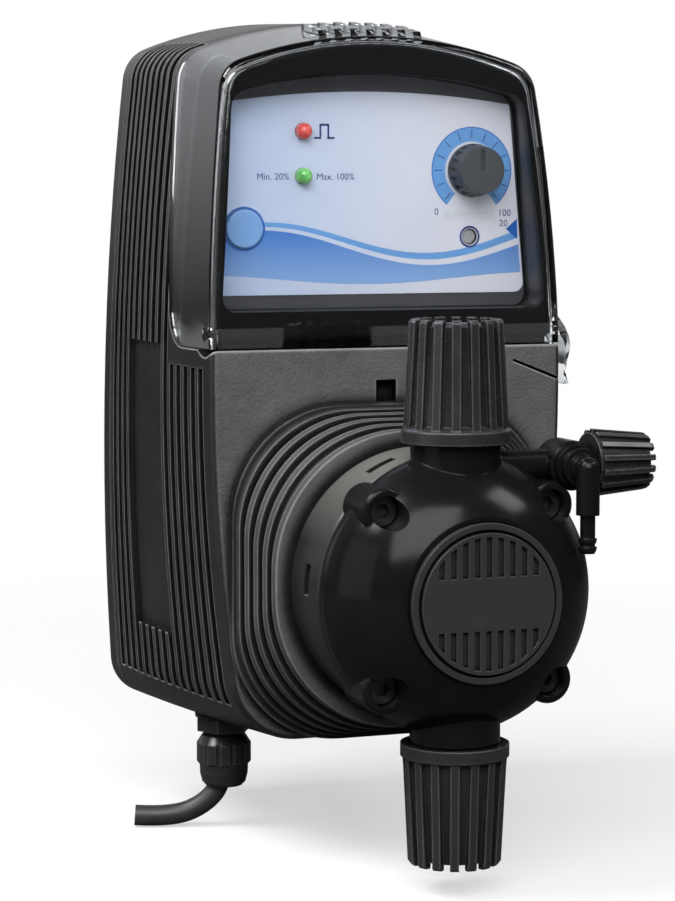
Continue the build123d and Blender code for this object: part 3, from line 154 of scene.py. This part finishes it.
# ---------------------------------------------------------------- node helpers
class Tree:
    """Short calls for the nodes and links of one node tree."""

    def __init__(self, tree, coords):
        self.nodes = tree.nodes
        self.links = tree.links
        self.nodes.clear()
        self.at = self.add("TexCoord").outputs[coords]

    def add(self, kind):
        return self.nodes.new("ShaderNode" + kind)

    def feed(self, socket, value):
        """Give a socket a colour or number of its own, or link it to another socket."""
        if isinstance(value, bpy.types.NodeSocket):
            self.links.new(value, socket)
        elif isinstance(value, tuple):
            socket.default_value = (*value, 1.0)
        else:
            socket.default_value = value

    def noise(self, scale, detail=3.0, roughness=0.6):
        tex = self.add("TexNoise")
        tex.inputs["Scale"].default_value = scale
        tex.inputs["Detail"].default_value = detail
        tex.inputs["Roughness"].default_value = roughness
        self.links.new(self.at, tex.inputs["Vector"])
        return tex.outputs["Fac"]

    def ramp(self, value, low, high, to_low=0.0, to_high=1.0):
        node = self.add("MapRange")
        node.inputs["From Min"].default_value = low
        node.inputs["From Max"].default_value = high
        node.inputs["To Min"].default_value = to_low
        node.inputs["To Max"].default_value = to_high
        self.links.new(value, node.inputs["Value"])
        return node.outputs["Result"]

    def blend(self, factor, a, b):
        """Colour from a to b; each is a colour or a socket."""
        node = self.add("Mix")
        node.data_type = "RGBA"
        first, second = [socket for socket in node.inputs if socket.type == "RGBA"]
        self.feed(node.inputs["Factor"], factor)
        self.feed(first, a)
        self.feed(second, b)
        return [socket for socket in node.outputs if socket.type == "RGBA"][0]

    def mix(self, factor, a, b):
        """Number from a to b; each is a number or a socket."""
        node = self.add("Mix")
        self.feed(node.inputs["Factor"], factor)
        self.feed(node.inputs["A"], a)
        self.feed(node.inputs["B"], b)
        return node.outputs[0]

    def compute(self, operation, a, b):
        node = self.add("Math")
        node.operation = operation
        self.feed(node.inputs[0], a)
        self.feed(node.inputs[1], b)
        return node.outputs[0]

    def axis(self, vector, name):
        """One coordinate of a vector socket."""
        parts = self.add("SeparateXYZ")
        self.links.new(vector, parts.inputs[0])
        return parts.outputs[name]

    def mix_shaders(self, factor, a, b):
        node = self.add("MixShader")
        self.feed(node.inputs[0], factor)
        self.links.new(a.outputs[0], node.inputs[1])
        self.links.new(b.outputs[0], node.inputs[2])
        return node


class Surface(Tree):
    """A material's node tree with its principled shader."""

    def __init__(self, name):
        self.material = bpy.data.materials.new(name)
        self.material.use_nodes = True
        super().__init__(self.material.node_tree, "Object")
        self.out = self.add("OutputMaterial")
        self.shader = self.add("BsdfPrincipled")
        self.show(self.shader)

    def show(self, shader):
        self.links.new(shader.outputs[0], self.out.inputs[0])

    def give(self, socket, value):
        self.feed(self.shader.inputs[socket], value)

    def normal(self):
        return self.add("NewGeometry").outputs["Normal"]

    def rounded_normal(self, radius):
        rounding = self.add("Bevel")
        rounding.samples = 4
        rounding.inputs["Radius"].default_value = radius * MM
        return rounding.outputs[0]

    def bumps(self, layers, distance, edge=0.0):
        """Sum of (height socket, weight) layers as a bump, over edges rounded by shading."""
        total = None
        for height, weight in layers:
            part = self.compute("MULTIPLY", height, weight)
            total = part if total is None else self.compute("ADD", total, part)
        bump = self.add("Bump")
        bump.inputs["Strength"].default_value = 1.0
        bump.inputs["Distance"].default_value = distance
        self.links.new(total, bump.inputs["Height"])
        if edge:
            self.links.new(self.rounded_normal(edge), bump.inputs["Normal"])
        self.give("Normal", bump.outputs[0])

    def outer_edge_share(self, radius):
        """1 close to an outer edge, 0 on open faces: how far a rounded normal leaves the true one."""
        dot = self.add("VectorMath")
        dot.operation = "DOT_PRODUCT"
        self.links.new(self.rounded_normal(radius), dot.inputs[0])
        self.links.new(self.normal(), dot.inputs[1])
        return self.ramp(dot.outputs["Value"], 0.995, 0.80)

    def hollows(self, reach, low=0.50):
        """0 deep in a groove, 1 in the open; the materials paint shade with it."""
        shade = self.add("AmbientOcclusion")
        shade.samples = 4
        shade.inputs["Distance"].default_value = reach * MM
        return self.ramp(shade.outputs["AO"], low, 0.97)


# ------------------------------------------------------------- kinds of material
def moulded(name, base, rough, grain=0.35, gloss=0.5, dust=0.25, edge=0.35, top_highlight=None):
    """Moulded plastic: fine grain, faint flow marks, dust that dulls it in patches, and, when a top colour is
    given, a painted highlight on upward-facing faces.
    """
    it = Surface(name)
    fine = it.noise(GRAIN, 2.0)
    broad = it.noise(FLOW, 3.0)
    dusty = it.ramp(it.noise(PATCHES, 4.0, 0.65), 0.45, 0.75)
    pale = tuple(min(1.0, c * 1.35 + 0.006) for c in base)
    colour = it.blend(it.compute("MULTIPLY", dusty, dust), base, pale)
    # Painted highlight: faces that look upwards blend to the given paler colour.
    if top_highlight:
        lying = it.ramp(it.axis(it.normal(), "Z"), 0.35, 0.95)
        colour = it.blend(lying, colour, top_highlight)
    it.give("Base Color", colour)
    it.give("Roughness", it.ramp(broad, 0.3, 0.7, rough - 0.05, rough + 0.07))
    it.give("Specular IOR Level", gloss)
    it.bumps([(fine, grain), (broad, 0.25)], MOULD_BUMP, edge)
    return it.material


def housing_plastic():
    """Black housing: glossy on the sides and roof, spark-eroded grey grain on the front, pale outer edges
    that are partly scuffs and partly a painted highlight, and painted shade in the grooves.
    """
    it = Surface("housing_plastic")
    facing = it.ramp(it.axis(it.normal(), "Y"), -0.90, -0.97)
    below = it.ramp(it.axis(it.at, "Z"), *(z * MM for z in GRAINED_BELOW_Z))
    nose = it.ramp(it.axis(it.at, "Y"), *(y * MM for y in NOSE_Y), 0.0, 0.5)
    front = it.compute("MAXIMUM", it.compute("MULTIPLY", facing, below), nose)

    fine = it.noise(1500.0, 2.0)
    cells = it.add("TexVoronoi")
    cells.inputs["Scale"].default_value = SPARKS
    it.links.new(it.at, cells.inputs["Vector"])
    patches = it.noise(60.0, 4.0, 0.7)
    streaks = it.noise(18.0, 2.0)
    # Pale edge band: partly real scuffs, partly a painted highlight on the rounded fin crests.
    scuffed_and_highlit = it.compute("MULTIPLY", it.outer_edge_share(1.1), it.ramp(patches, 0.2, 0.6, 0.6, 1.0))
    # Painted shade: near-black colour and weaker specular deep in the grooves.
    unshaded_share = it.hollows(5.0, 0.72)

    grey = it.blend(it.ramp(patches, 0.35, 0.7), (0.080, 0.078, 0.082), (0.120, 0.117, 0.122))
    grey = it.blend(scuffed_and_highlit, grey, (0.36, 0.356, 0.360))
    black = it.blend(it.ramp(patches, 0.4, 0.75), (0.012, 0.012, 0.0125), (0.020, 0.020, 0.021))
    black = it.blend(scuffed_and_highlit, black, (0.42, 0.415, 0.415))
    colour = it.blend(front, black, grey)
    # Painted shade in the grooves laid over the housing colour.
    it.give("Base Color", it.blend(unshaded_share, (0.004, 0.004, 0.004), colour))
    it.give("Roughness", it.mix(front, it.ramp(streaks, 0.3, 0.7, 0.30, 0.40), 0.62))
    it.give("Specular IOR Level", it.ramp(unshaded_share, 0.0, 1.0, 0.05, 0.5))
    grain = it.compute("MULTIPLY", cells.outputs["Distance"], front)
    it.bumps([(grain, 1.6), (fine, 0.3), (streaks, 0.2)], SPARK_BUMP, edge=0.9)
    return it.material


def ribbed_plastic(name, base, scuff_and_highlight, rough, grain=0.3, edge_radius=0.9, groove=2.5, edge=0.5):
    """Black plastic of ribbed parts: painted shade between the ribs, and pale edges that are partly scuffs
    and partly a painted highlight.
    """
    it = Surface(name)
    fine = it.noise(GRAIN, 2.0)
    patches = it.noise(SCUFFS, 4.0, 0.65)
    # Pale edge band: partly real scuffs, partly a painted highlight.
    worn_and_highlit = it.compute("MULTIPLY", it.outer_edge_share(edge_radius), it.ramp(patches, 0.25, 0.65, 0.5, 1.0))
    # Painted shade: darker colour and weaker specular between the ribs.
    unshaded_share = it.hollows(groove)
    groove_shade = tuple(c * 0.3 for c in base)
    it.give("Base Color", it.blend(unshaded_share, groove_shade, it.blend(worn_and_highlit, base, scuff_and_highlight)))
    it.give("Roughness", it.ramp(patches, 0.3, 0.7, rough - 0.05, rough + 0.08))
    it.give("Specular IOR Level", it.ramp(unshaded_share, 0.0, 1.0, 0.08, 0.5))
    it.bumps([(fine, grain), (patches, 0.2)], MOULD_BUMP, edge)
    return it.material


def clear_plastic(name, tint, rough=0.03):
    """Clear moulded plastic that lets light through to what is behind it."""
    it = Surface(name)
    it.give("Base Color", tint)
    it.give("Transmission Weight", 1.0)
    it.give("IOR", 1.46)
    smear = it.noise(35.0, 4.0, 0.7)
    it.give("Roughness", it.ramp(smear, 0.45, 0.8, rough, rough + 0.05))
    it.bumps([(it.noise(14.0, 1.0), 1.0), (it.noise(260.0, 2.0), 0.04)], CLEAR_BUMP)
    clear = it.add("BsdfTransparent")
    it.feed(clear.inputs[0], (0.93, 0.94, 0.95))
    shadow = it.add("LightPath").outputs["Is Shadow Ray"]
    it.show(it.mix_shaders(shadow, it.shader, clear))
    return it.material


def metal(name, base, rough):
    """Machined or coated metal: stained in patches, with fine tool lines."""
    it = Surface(name)
    it.give("Metallic", 1.0)
    stain = it.ramp(it.noise(140.0, 4.0), 0.35, 0.7)
    dark = tuple(c * 0.72 for c in base)
    it.give("Base Color", it.blend(stain, dark, base))
    lines = it.noise(1200.0, 2.0)
    it.give("Roughness", it.ramp(lines, 0.2, 0.8, rough - 0.06, rough + 0.1))
    it.bumps([(lines, 1.0)], METAL_BUMP)
    return it.material


def rubbery(name, base, rough=0.55):
    """Soft black rubber or sheath with a chalky bloom."""
    it = Surface(name)
    chalk = it.noise(120.0, 4.0)
    pale = tuple(c * 1.5 + 0.01 for c in base)
    it.give("Base Color", it.blend(it.ramp(chalk, 0.5, 0.8), base, pale))
    it.give("Roughness", it.ramp(chalk, 0.3, 0.7, rough - 0.08, rough + 0.08))
    it.bumps([(it.noise(900.0, 3.0), 1.0)], RUBBER_BUMP)
    return it.material


def lens(name, base, glow):
    """Coloured LED body: a paler core under a clear, glossy skin."""
    it = Surface(name)
    cloud = it.noise(400.0, 2.0)
    it.give("Base Color", it.blend(it.ramp(cloud, 0.3, 0.7), base, glow))
    it.give("Roughness", 0.16)
    it.give("Subsurface Weight", 0.25)
    it.shader.inputs["Subsurface Radius"].default_value = (0.004, 0.004, 0.004)
    it.give("Subsurface Scale", 0.4)
    it.give("Coat Weight", 0.6)
    it.bumps([(cloud, 1.0)], METAL_BUMP)
    return it.material


def ink(name, base, rough=0.38):
    """Screen print on film: nearly even colour with a fine mottle."""
    it = Surface(name)
    mottle = it.noise(PRINT_GRAIN, 2.0)
    dark = tuple(c * 0.9 for c in base)
    it.give("Base Color", it.blend(it.ramp(mottle, 0.3, 0.7), dark, base))
    it.give("Roughness", rough)
    it.bumps([(mottle, 1.0)], PRINT_BUMP)
    return it.material


def faded_ink(name, top, foot, fade, rough=0.38):
    """Print whose colour runs from one height to another."""
    it = Surface(name)
    share = it.ramp(it.axis(it.at, "Z"), *(z * MM for z in fade))
    it.give("Base Color", it.blend(share, top, foot))
    it.give("Roughness", rough)
    it.bumps([(it.noise(PRINT_GRAIN, 2.0), 1.0)], PRINT_BUMP)
    return it.material


def label_film():
    """Film of the control label: pale blue on the left, nearly white on the right."""
    it = Surface("label_film")
    across = it.ramp(it.axis(it.at, "X"), -50 * MM, 30 * MM)
    it.give("Base Color", it.blend(across, (0.33, 0.40, 0.54), (0.50, 0.495, 0.54)))
    it.give("Roughness", 0.35)
    it.bumps([(it.noise(900.0, 2.0), 1.0)], PRINT_BUMP)
    return it.material


# ------------------------------------------------------------------- materials
MATERIALS = {
    "housing": housing_plastic(),
    "door": clear_plastic("clear_door", (0.93, 0.95, 0.97)),
    "panel": moulded("panel_plastic", (0.042, 0.042, 0.046), 0.30),
    "head": moulded("head_plastic", (0.0065, 0.0065, 0.0068), 0.18, grain=0.10, gloss=0.17, edge=0.6),
    # The lantern's pale top is a painted highlight.
    "lantern": moulded("lantern_plastic", (0.018, 0.0175, 0.017), 0.30, grain=0.25, edge=0.6,
                       top_highlight=(0.155, 0.150, 0.140)),
    # Cap and nuts: their pale edge colour is partly scuffs and partly a painted highlight, with painted shade
    # between the ribs.
    "cap": ribbed_plastic("cap_plastic", (0.030, 0.030, 0.033), (0.090, 0.090, 0.094), 0.38,
                          edge_radius=0.5, groove=1.2),
    "nut": ribbed_plastic("nut_plastic", (0.024, 0.024, 0.025), (0.160, 0.160, 0.164), 0.26),
    "knob": moulded("knob_plastic", (0.030, 0.031, 0.033), 0.42, grain=0.5),
    "button": moulded("button_plastic", (0.14, 0.27, 0.50), 0.35, grain=0.3, dust=0.1),
    "grey_key": moulded("key_plastic", (0.22, 0.22, 0.22), 0.40),
    "membrane": moulded("diaphragm_plastic", (0.80, 0.80, 0.77), 0.45),
    "component": moulded("component_plastic", (0.03, 0.03, 0.03), 0.45),
    "board": moulded("solder_mask", (0.02, 0.16, 0.06), 0.30),
    "steel": metal("stainless_steel", (0.60, 0.60, 0.59), 0.28),
    "coated_steel": metal("coated_steel", (0.10, 0.10, 0.105), 0.42),
    "copper": metal("copper_wire", (0.62, 0.28, 0.14), 0.35),
    "rubber": rubbery("seal_rubber", (0.02, 0.02, 0.02)),
    "cord": rubbery("cord_sheath", (0.030, 0.030, 0.033), 0.45),
    "ceramic": moulded("ceramic", (0.82, 0.82, 0.78), 0.18, grain=0.1, dust=0.05),
    "red_led": lens("red_led_lens", (0.42, 0.02, 0.015), (0.60, 0.09, 0.07)),
    "green_led": lens("green_led_lens", (0.06, 0.30, 0.05), (0.20, 0.50, 0.14)),
    "film": label_film(),
    "ink_blue": ink("ink_blue", (0.010, 0.090, 0.34)),
    "ink_sky": ink("ink_sky", (0.10, 0.25, 0.50)),
    "ink_navy": ink("ink_navy", (0.012, 0.022, 0.12)),
    "ink_white": ink("ink_white", (0.48, 0.49, 0.51)),
    "ink_wave": faded_ink("ink_wave", (0.010, 0.100, 0.36), (0.17, 0.29, 0.50), WAVE_FADE),
}

NODE_MATERIALS = {
    "housing": ["front_case", "rear_cover", "door_pins", "wall_bracket"],
    "door": ["door"],
    "panel": ["panel_fascia"],
    "film": ["panel_label"],
    "red_led": ["red_led"],
    "green_led": ["green_led"],
    "button": ["start_button"],
    "grey_key": ["range_button"],
    "knob": ["dial_knob"],
    "head": ["pump_head", "bleed_body", "bleed_elbow"],
    "lantern": ["lantern"],
    "cap": ["head_cap"],
    "nut": ["discharge_nut", "suction_nut", "bleed_knob", "gland_body", "gland_nut", "gland_locknut",
            "discharge_tail", "suction_tail", "bleed_needle"],
    "component": ["potentiometer", "tact_switches", "discharge_cage", "suction_cage"],
    "board": ["circuit_board"],
    "steel": ["case_screws", "bracket_screws", "board_screws", "dial_shaft", "push_rod",
              "armature", "diaphragm_disc", "return_spring"],
    "coated_steel": ["solenoid_pot", "pole_piece", "head_screws"],
    "copper": ["solenoid_coil"],
    "rubber": ["case_gasket", "valve_seals", "gland_seal"],
    "membrane": ["diaphragm"],
    "ceramic": ["discharge_ball", "suction_ball"],
}


def paint_nodes():
    for key, names in NODE_MATERIALS.items():
        for name in names:
            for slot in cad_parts[name].material_slots:
                slot.material = MATERIALS[key]


# --------------------------------------------------------------- label artwork
def add_object(name, data):
    obj = bpy.data.objects.new(name, data)
    bpy.context.scene.collection.objects.link(obj)
    return obj


def flat_print(name, outlines, ink_name, layer):
    """Printed area on the label: closed (x, z) outlines in millimetres, as one flat mesh."""
    bm = bmesh.new()
    y = (LABEL_Y - INK_STEP * layer) * MM
    for outline in outlines:
        corners = [bm.verts.new((x * MM, y, z * MM)) for x, z in outline]
        bm.faces.new(corners)
    bmesh.ops.recalc_face_normals(bm, faces=bm.faces)
    for face in bm.faces:
        if face.normal.y > 0:
            face.normal_flip()
    bmesh.ops.triangulate(bm, faces=bm.faces)
    mesh = bpy.data.meshes.new(name)
    bm.to_mesh(mesh)
    bm.free()
    mesh.materials.append(MATERIALS[ink_name])
    obj = add_object(name, mesh)
    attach(obj, "housing")


def arc_points(centre, radius, start, stop, steps):
    x, z = centre
    angles = [math.radians(start + (stop - start) * i / steps) for i in range(steps + 1)]
    return [(x + radius * math.cos(a), z + radius * math.sin(a)) for a in angles]


def band(centre, inner, outer, start=0, stop=360, steps=72):
    """Ring segment as quads, so that it can be printed as one area."""
    a = arc_points(centre, inner, start, stop, steps)
    b = arc_points(centre, outer, start, stop, steps)
    return [[a[i], b[i], b[i + 1], a[i + 1]] for i in range(steps)]


def stroke(start, end, width):
    """Thin straight line as a quad."""
    (x0, z0), (x1, z1) = start, end
    length = math.hypot(x1 - x0, z1 - z0)
    nx = -(z1 - z0) / length * width / 2
    nz = (x1 - x0) / length * width / 2
    return [(x0 + nx, z0 + nz), (x1 + nx, z1 + nz), (x1 - nx, z1 - nz), (x0 - nx, z0 - nz)]


def printed_half(z):
    """Half width of the printable field at height z."""
    share = (z - LABEL_FOOT_Z) / (LABEL_SIDE_Z - LABEL_FOOT_Z)
    return LABEL_HALF[0] + (LABEL_HALF[1] - LABEL_HALF[0]) * share - PRINT_MARGIN


def wave_band(low, high, steps=60):
    """Area between two height functions across the label, as quads."""
    quads = []
    for i in range(steps):
        t0, t1 = i / steps, (i + 1) / steps
        corners = []
        for t, line in ((t0, low), (t1, low), (t1, high), (t0, high)):
            z = line(t)
            half = printed_half(z)
            corners.append((-half + 2 * half * t, z))
        quads.append(corners)
    return quads


def swell(mean, swing, phase):
    """Height of a wave's edge along the share t of the label's width."""
    return lambda t: mean + swing * math.sin(2.0 * math.pi * (t * WAVE_TURNS + phase))


def raised(line, gap, growth):
    """The same edge set higher, by a gap that grows to the right."""
    return lambda t: line(t) + gap + growth * t


def draw_waves():
    """A long wave along the foot of the label, and a thin line that follows its crest."""
    crest = swell(*WAVE_CREST)
    low, high = [raised(crest, *rise) for rise in WAVE_LINE]
    flat_print("label_wave", wave_band(swell(*WAVE_FOOT), crest), "ink_wave", 1)
    flat_print("label_wave_line", wave_band(low, high), "ink_sky", 1)


def draw_dial():
    """Scale ring of the setting dial with its rim and ticks."""
    inner, outer = DIAL_RING
    flat_print("dial_ring", band(DIAL, inner, outer, *DIAL_SWEEP), "ink_sky", 2)
    flat_print("dial_rim", band(DIAL, outer, outer + DIAL_RIM, *DIAL_SWEEP), "ink_blue", 2)
    ticks = []
    for i in range(TICK_COUNT):
        turn = math.radians(TICK_FIRST + TICK_STEP * i)
        radii = (inner + TICK_INSET[0], outer - TICK_INSET[1])
        ends = [(DIAL[0] + r * math.cos(turn), DIAL[1] + r * math.sin(turn)) for r in radii]
        ticks.append(stroke(*ends, TICK_WIDTH))
    flat_print("dial_ticks", ticks, "ink_navy", 3)


def draw_pulse():
    """Square pulse beside the red lamp, its strokes lengthened to close the corners."""
    x, z = LED_X + PULSE_START[0], RED_LED_Z + PULSE_START[1]
    half = PULSE_WIDTH / 2
    lines = []
    for (x0, z0), (x1, z1) in zip(PULSE, PULSE[1:]):
        dx = half * (x1 != x0)
        dz = half * (z1 > z0) - half * (z1 < z0)
        lines.append(stroke((x + x0 - dx, z + z0 - dz), (x + x1 + dx, z + z1 + dz), PULSE_WIDTH))
    flat_print("pulse_symbol", lines, "ink_navy", 2)


def draw_lettering():
    for name, (words, x, z, height, align) in LETTERING.items():
        curve = bpy.data.curves.new(name, "FONT")
        curve.body = words
        curve.size = height * MM / CAPITAL_SHARE
        curve.align_x = align
        curve.resolution_u = 3
        curve.materials.append(MATERIALS["ink_navy"])
        obj = add_object(name, curve)
        obj.location = (x * MM, (LABEL_Y - INK_STEP * 2) * MM, z * MM)
        obj.rotation_euler = (math.radians(90), 0, 0)
        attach(obj, "housing")


def draw_key_marks():
    """Rings round both keys, the pale field over the range key, and the pointer at the label's edge."""
    x, z = RANGE_KEY
    half, low, high = RANGE_FIELD
    foot, middle, head = POINTER_Z
    field = [(x - half, z + low), (x + half, z + low), (x + half, z + high), (x - half, z + high)]
    edge = printed_half(z + 2)
    pointer = [(edge - POINTER_LENGTH, z + middle), (edge, z + foot), (edge, z + head)]
    flat_print("range_key_ring", band(RANGE_KEY, *RANGE_RING), "ink_navy", 2)
    flat_print("range_key_field", [field], "ink_white", 2)
    flat_print("pointer", [pointer], "ink_blue", 2)
    flat_print("start_ring", band(START, *START_RING), "ink_blue", 3)


# ------------------------------------------------------------------------ cord
def add_cord():
    curve = bpy.data.curves.new("cord", "CURVE")
    curve.dimensions = "3D"
    curve.bevel_depth = CORD_R * MM
    curve.bevel_resolution = 10
    curve.resolution_u = 16
    curve.use_fill_caps = True
    spline = curve.splines.new("NURBS")
    spline.points.add(len(CORD_ROUTE) - 1)
    for point, place in zip(spline.points, CORD_ROUTE):
        point.co = (*(c * MM for c in place), 1.0)
    spline.order_u = 3
    spline.use_endpoint_u = True
    curve.materials.append(MATERIALS["cord"])
    obj = add_object("cord", curve)
    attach(obj, "housing")
    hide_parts("power_cord")


# ----------------------------------------------------------------------- stage
def add_camera():
    data = bpy.data.cameras.new("camera")
    data.sensor_fit = "HORIZONTAL"
    data.sensor_width = SENSOR
    data.lens = SENSOR * FOCAL / IMAGE_W
    data.clip_end = SIGHT
    obj = add_object("camera", data)
    obj.location = [c * MM for c in EYE]
    obj.rotation_euler = (math.radians(90 + PITCH), 0, math.radians(-YAW))
    bpy.context.scene.camera = obj


def add_lamps():
    for name, (place, size, power) in LAMPS.items():
        data = bpy.data.lights.new(name, "AREA")
        data.shape = "RECTANGLE"
        data.size, data.size_y = size
        data.energy = power
        obj = add_object(name, data)
        obj.location = place
        way = Vector(LAMP_TARGET) - Vector(place)
        obj.rotation_euler = way.to_track_quat("-Z", "Y").to_euler()


def add_world():
    """Dark studio with a bright backdrop behind the pump; the camera itself sees plain white."""
    world = bpy.data.worlds.new("studio")
    bpy.context.scene.world = world
    world.use_nodes = True
    it = Tree(world.node_tree, "Generated")
    behind = it.ramp(it.axis(it.at, "Y"), *BACKDROP_BEHIND)
    above = it.ramp(it.axis(it.at, "Z"), *BACKDROP_ABOVE)
    room = it.add("Background")
    it.feed(room.inputs[0], it.blend(it.compute("MULTIPLY", behind, above), ROOM, BACKDROP))
    white = it.add("Background")
    it.feed(white.inputs[0], (1, 1, 1))
    seen = it.add("LightPath").outputs["Is Camera Ray"]
    out = it.add("OutputWorld")
    it.links.new(it.mix_shaders(seen, room, white).outputs[0], out.inputs[0])


def floor_paper():
    """White paper that takes a shadow close by and runs into the white backdrop further off."""
    it = Surface("floor_paper")
    path = it.add("LightPath")
    seen = it.compute("MAXIMUM", path.outputs["Is Camera Ray"], path.outputs["Is Transmission Ray"])
    paper = it.blend(it.noise(40.0, 3.0), (0.86, 0.86, 0.86), (0.90, 0.90, 0.90))
    it.give("Base Color", it.blend(seen, (0.09, 0.09, 0.09), paper))
    it.give("Roughness", 0.9)
    it.give("Specular IOR Level", 0.1)
    reach = it.add("VectorMath")
    reach.operation = "LENGTH"
    it.links.new(it.at, reach.inputs[0])
    away = it.ramp(reach.outputs["Value"], *PAPER_REACH, 0.55, 1.0)
    glow = it.add("Emission")
    it.feed(glow.inputs[1], 1.0)
    it.show(it.mix_shaders(it.compute("MULTIPLY", seen, away), it.shader, glow))
    return it.material


def add_floor():
    half = FLOOR_HALF
    corners = [(-half, -half, FLOOR_Z), (half, -half, FLOOR_Z), (half, half, FLOOR_Z), (-half, half, FLOOR_Z)]
    mesh = bpy.data.meshes.new("floor")
    mesh.from_pydata(corners, [], [(0, 1, 2, 3)])
    mesh.materials.append(floor_paper())
    floor = add_object("floor", mesh)


def add_stage():
    add_camera()
    add_world()
    add_floor()
    add_lamps()
    bpy.context.scene.view_settings.view_transform = "Standard"


paint_nodes()
draw_waves()
draw_dial()
draw_pulse()
draw_lettering()
draw_key_marks()
add_cord()
add_stage()
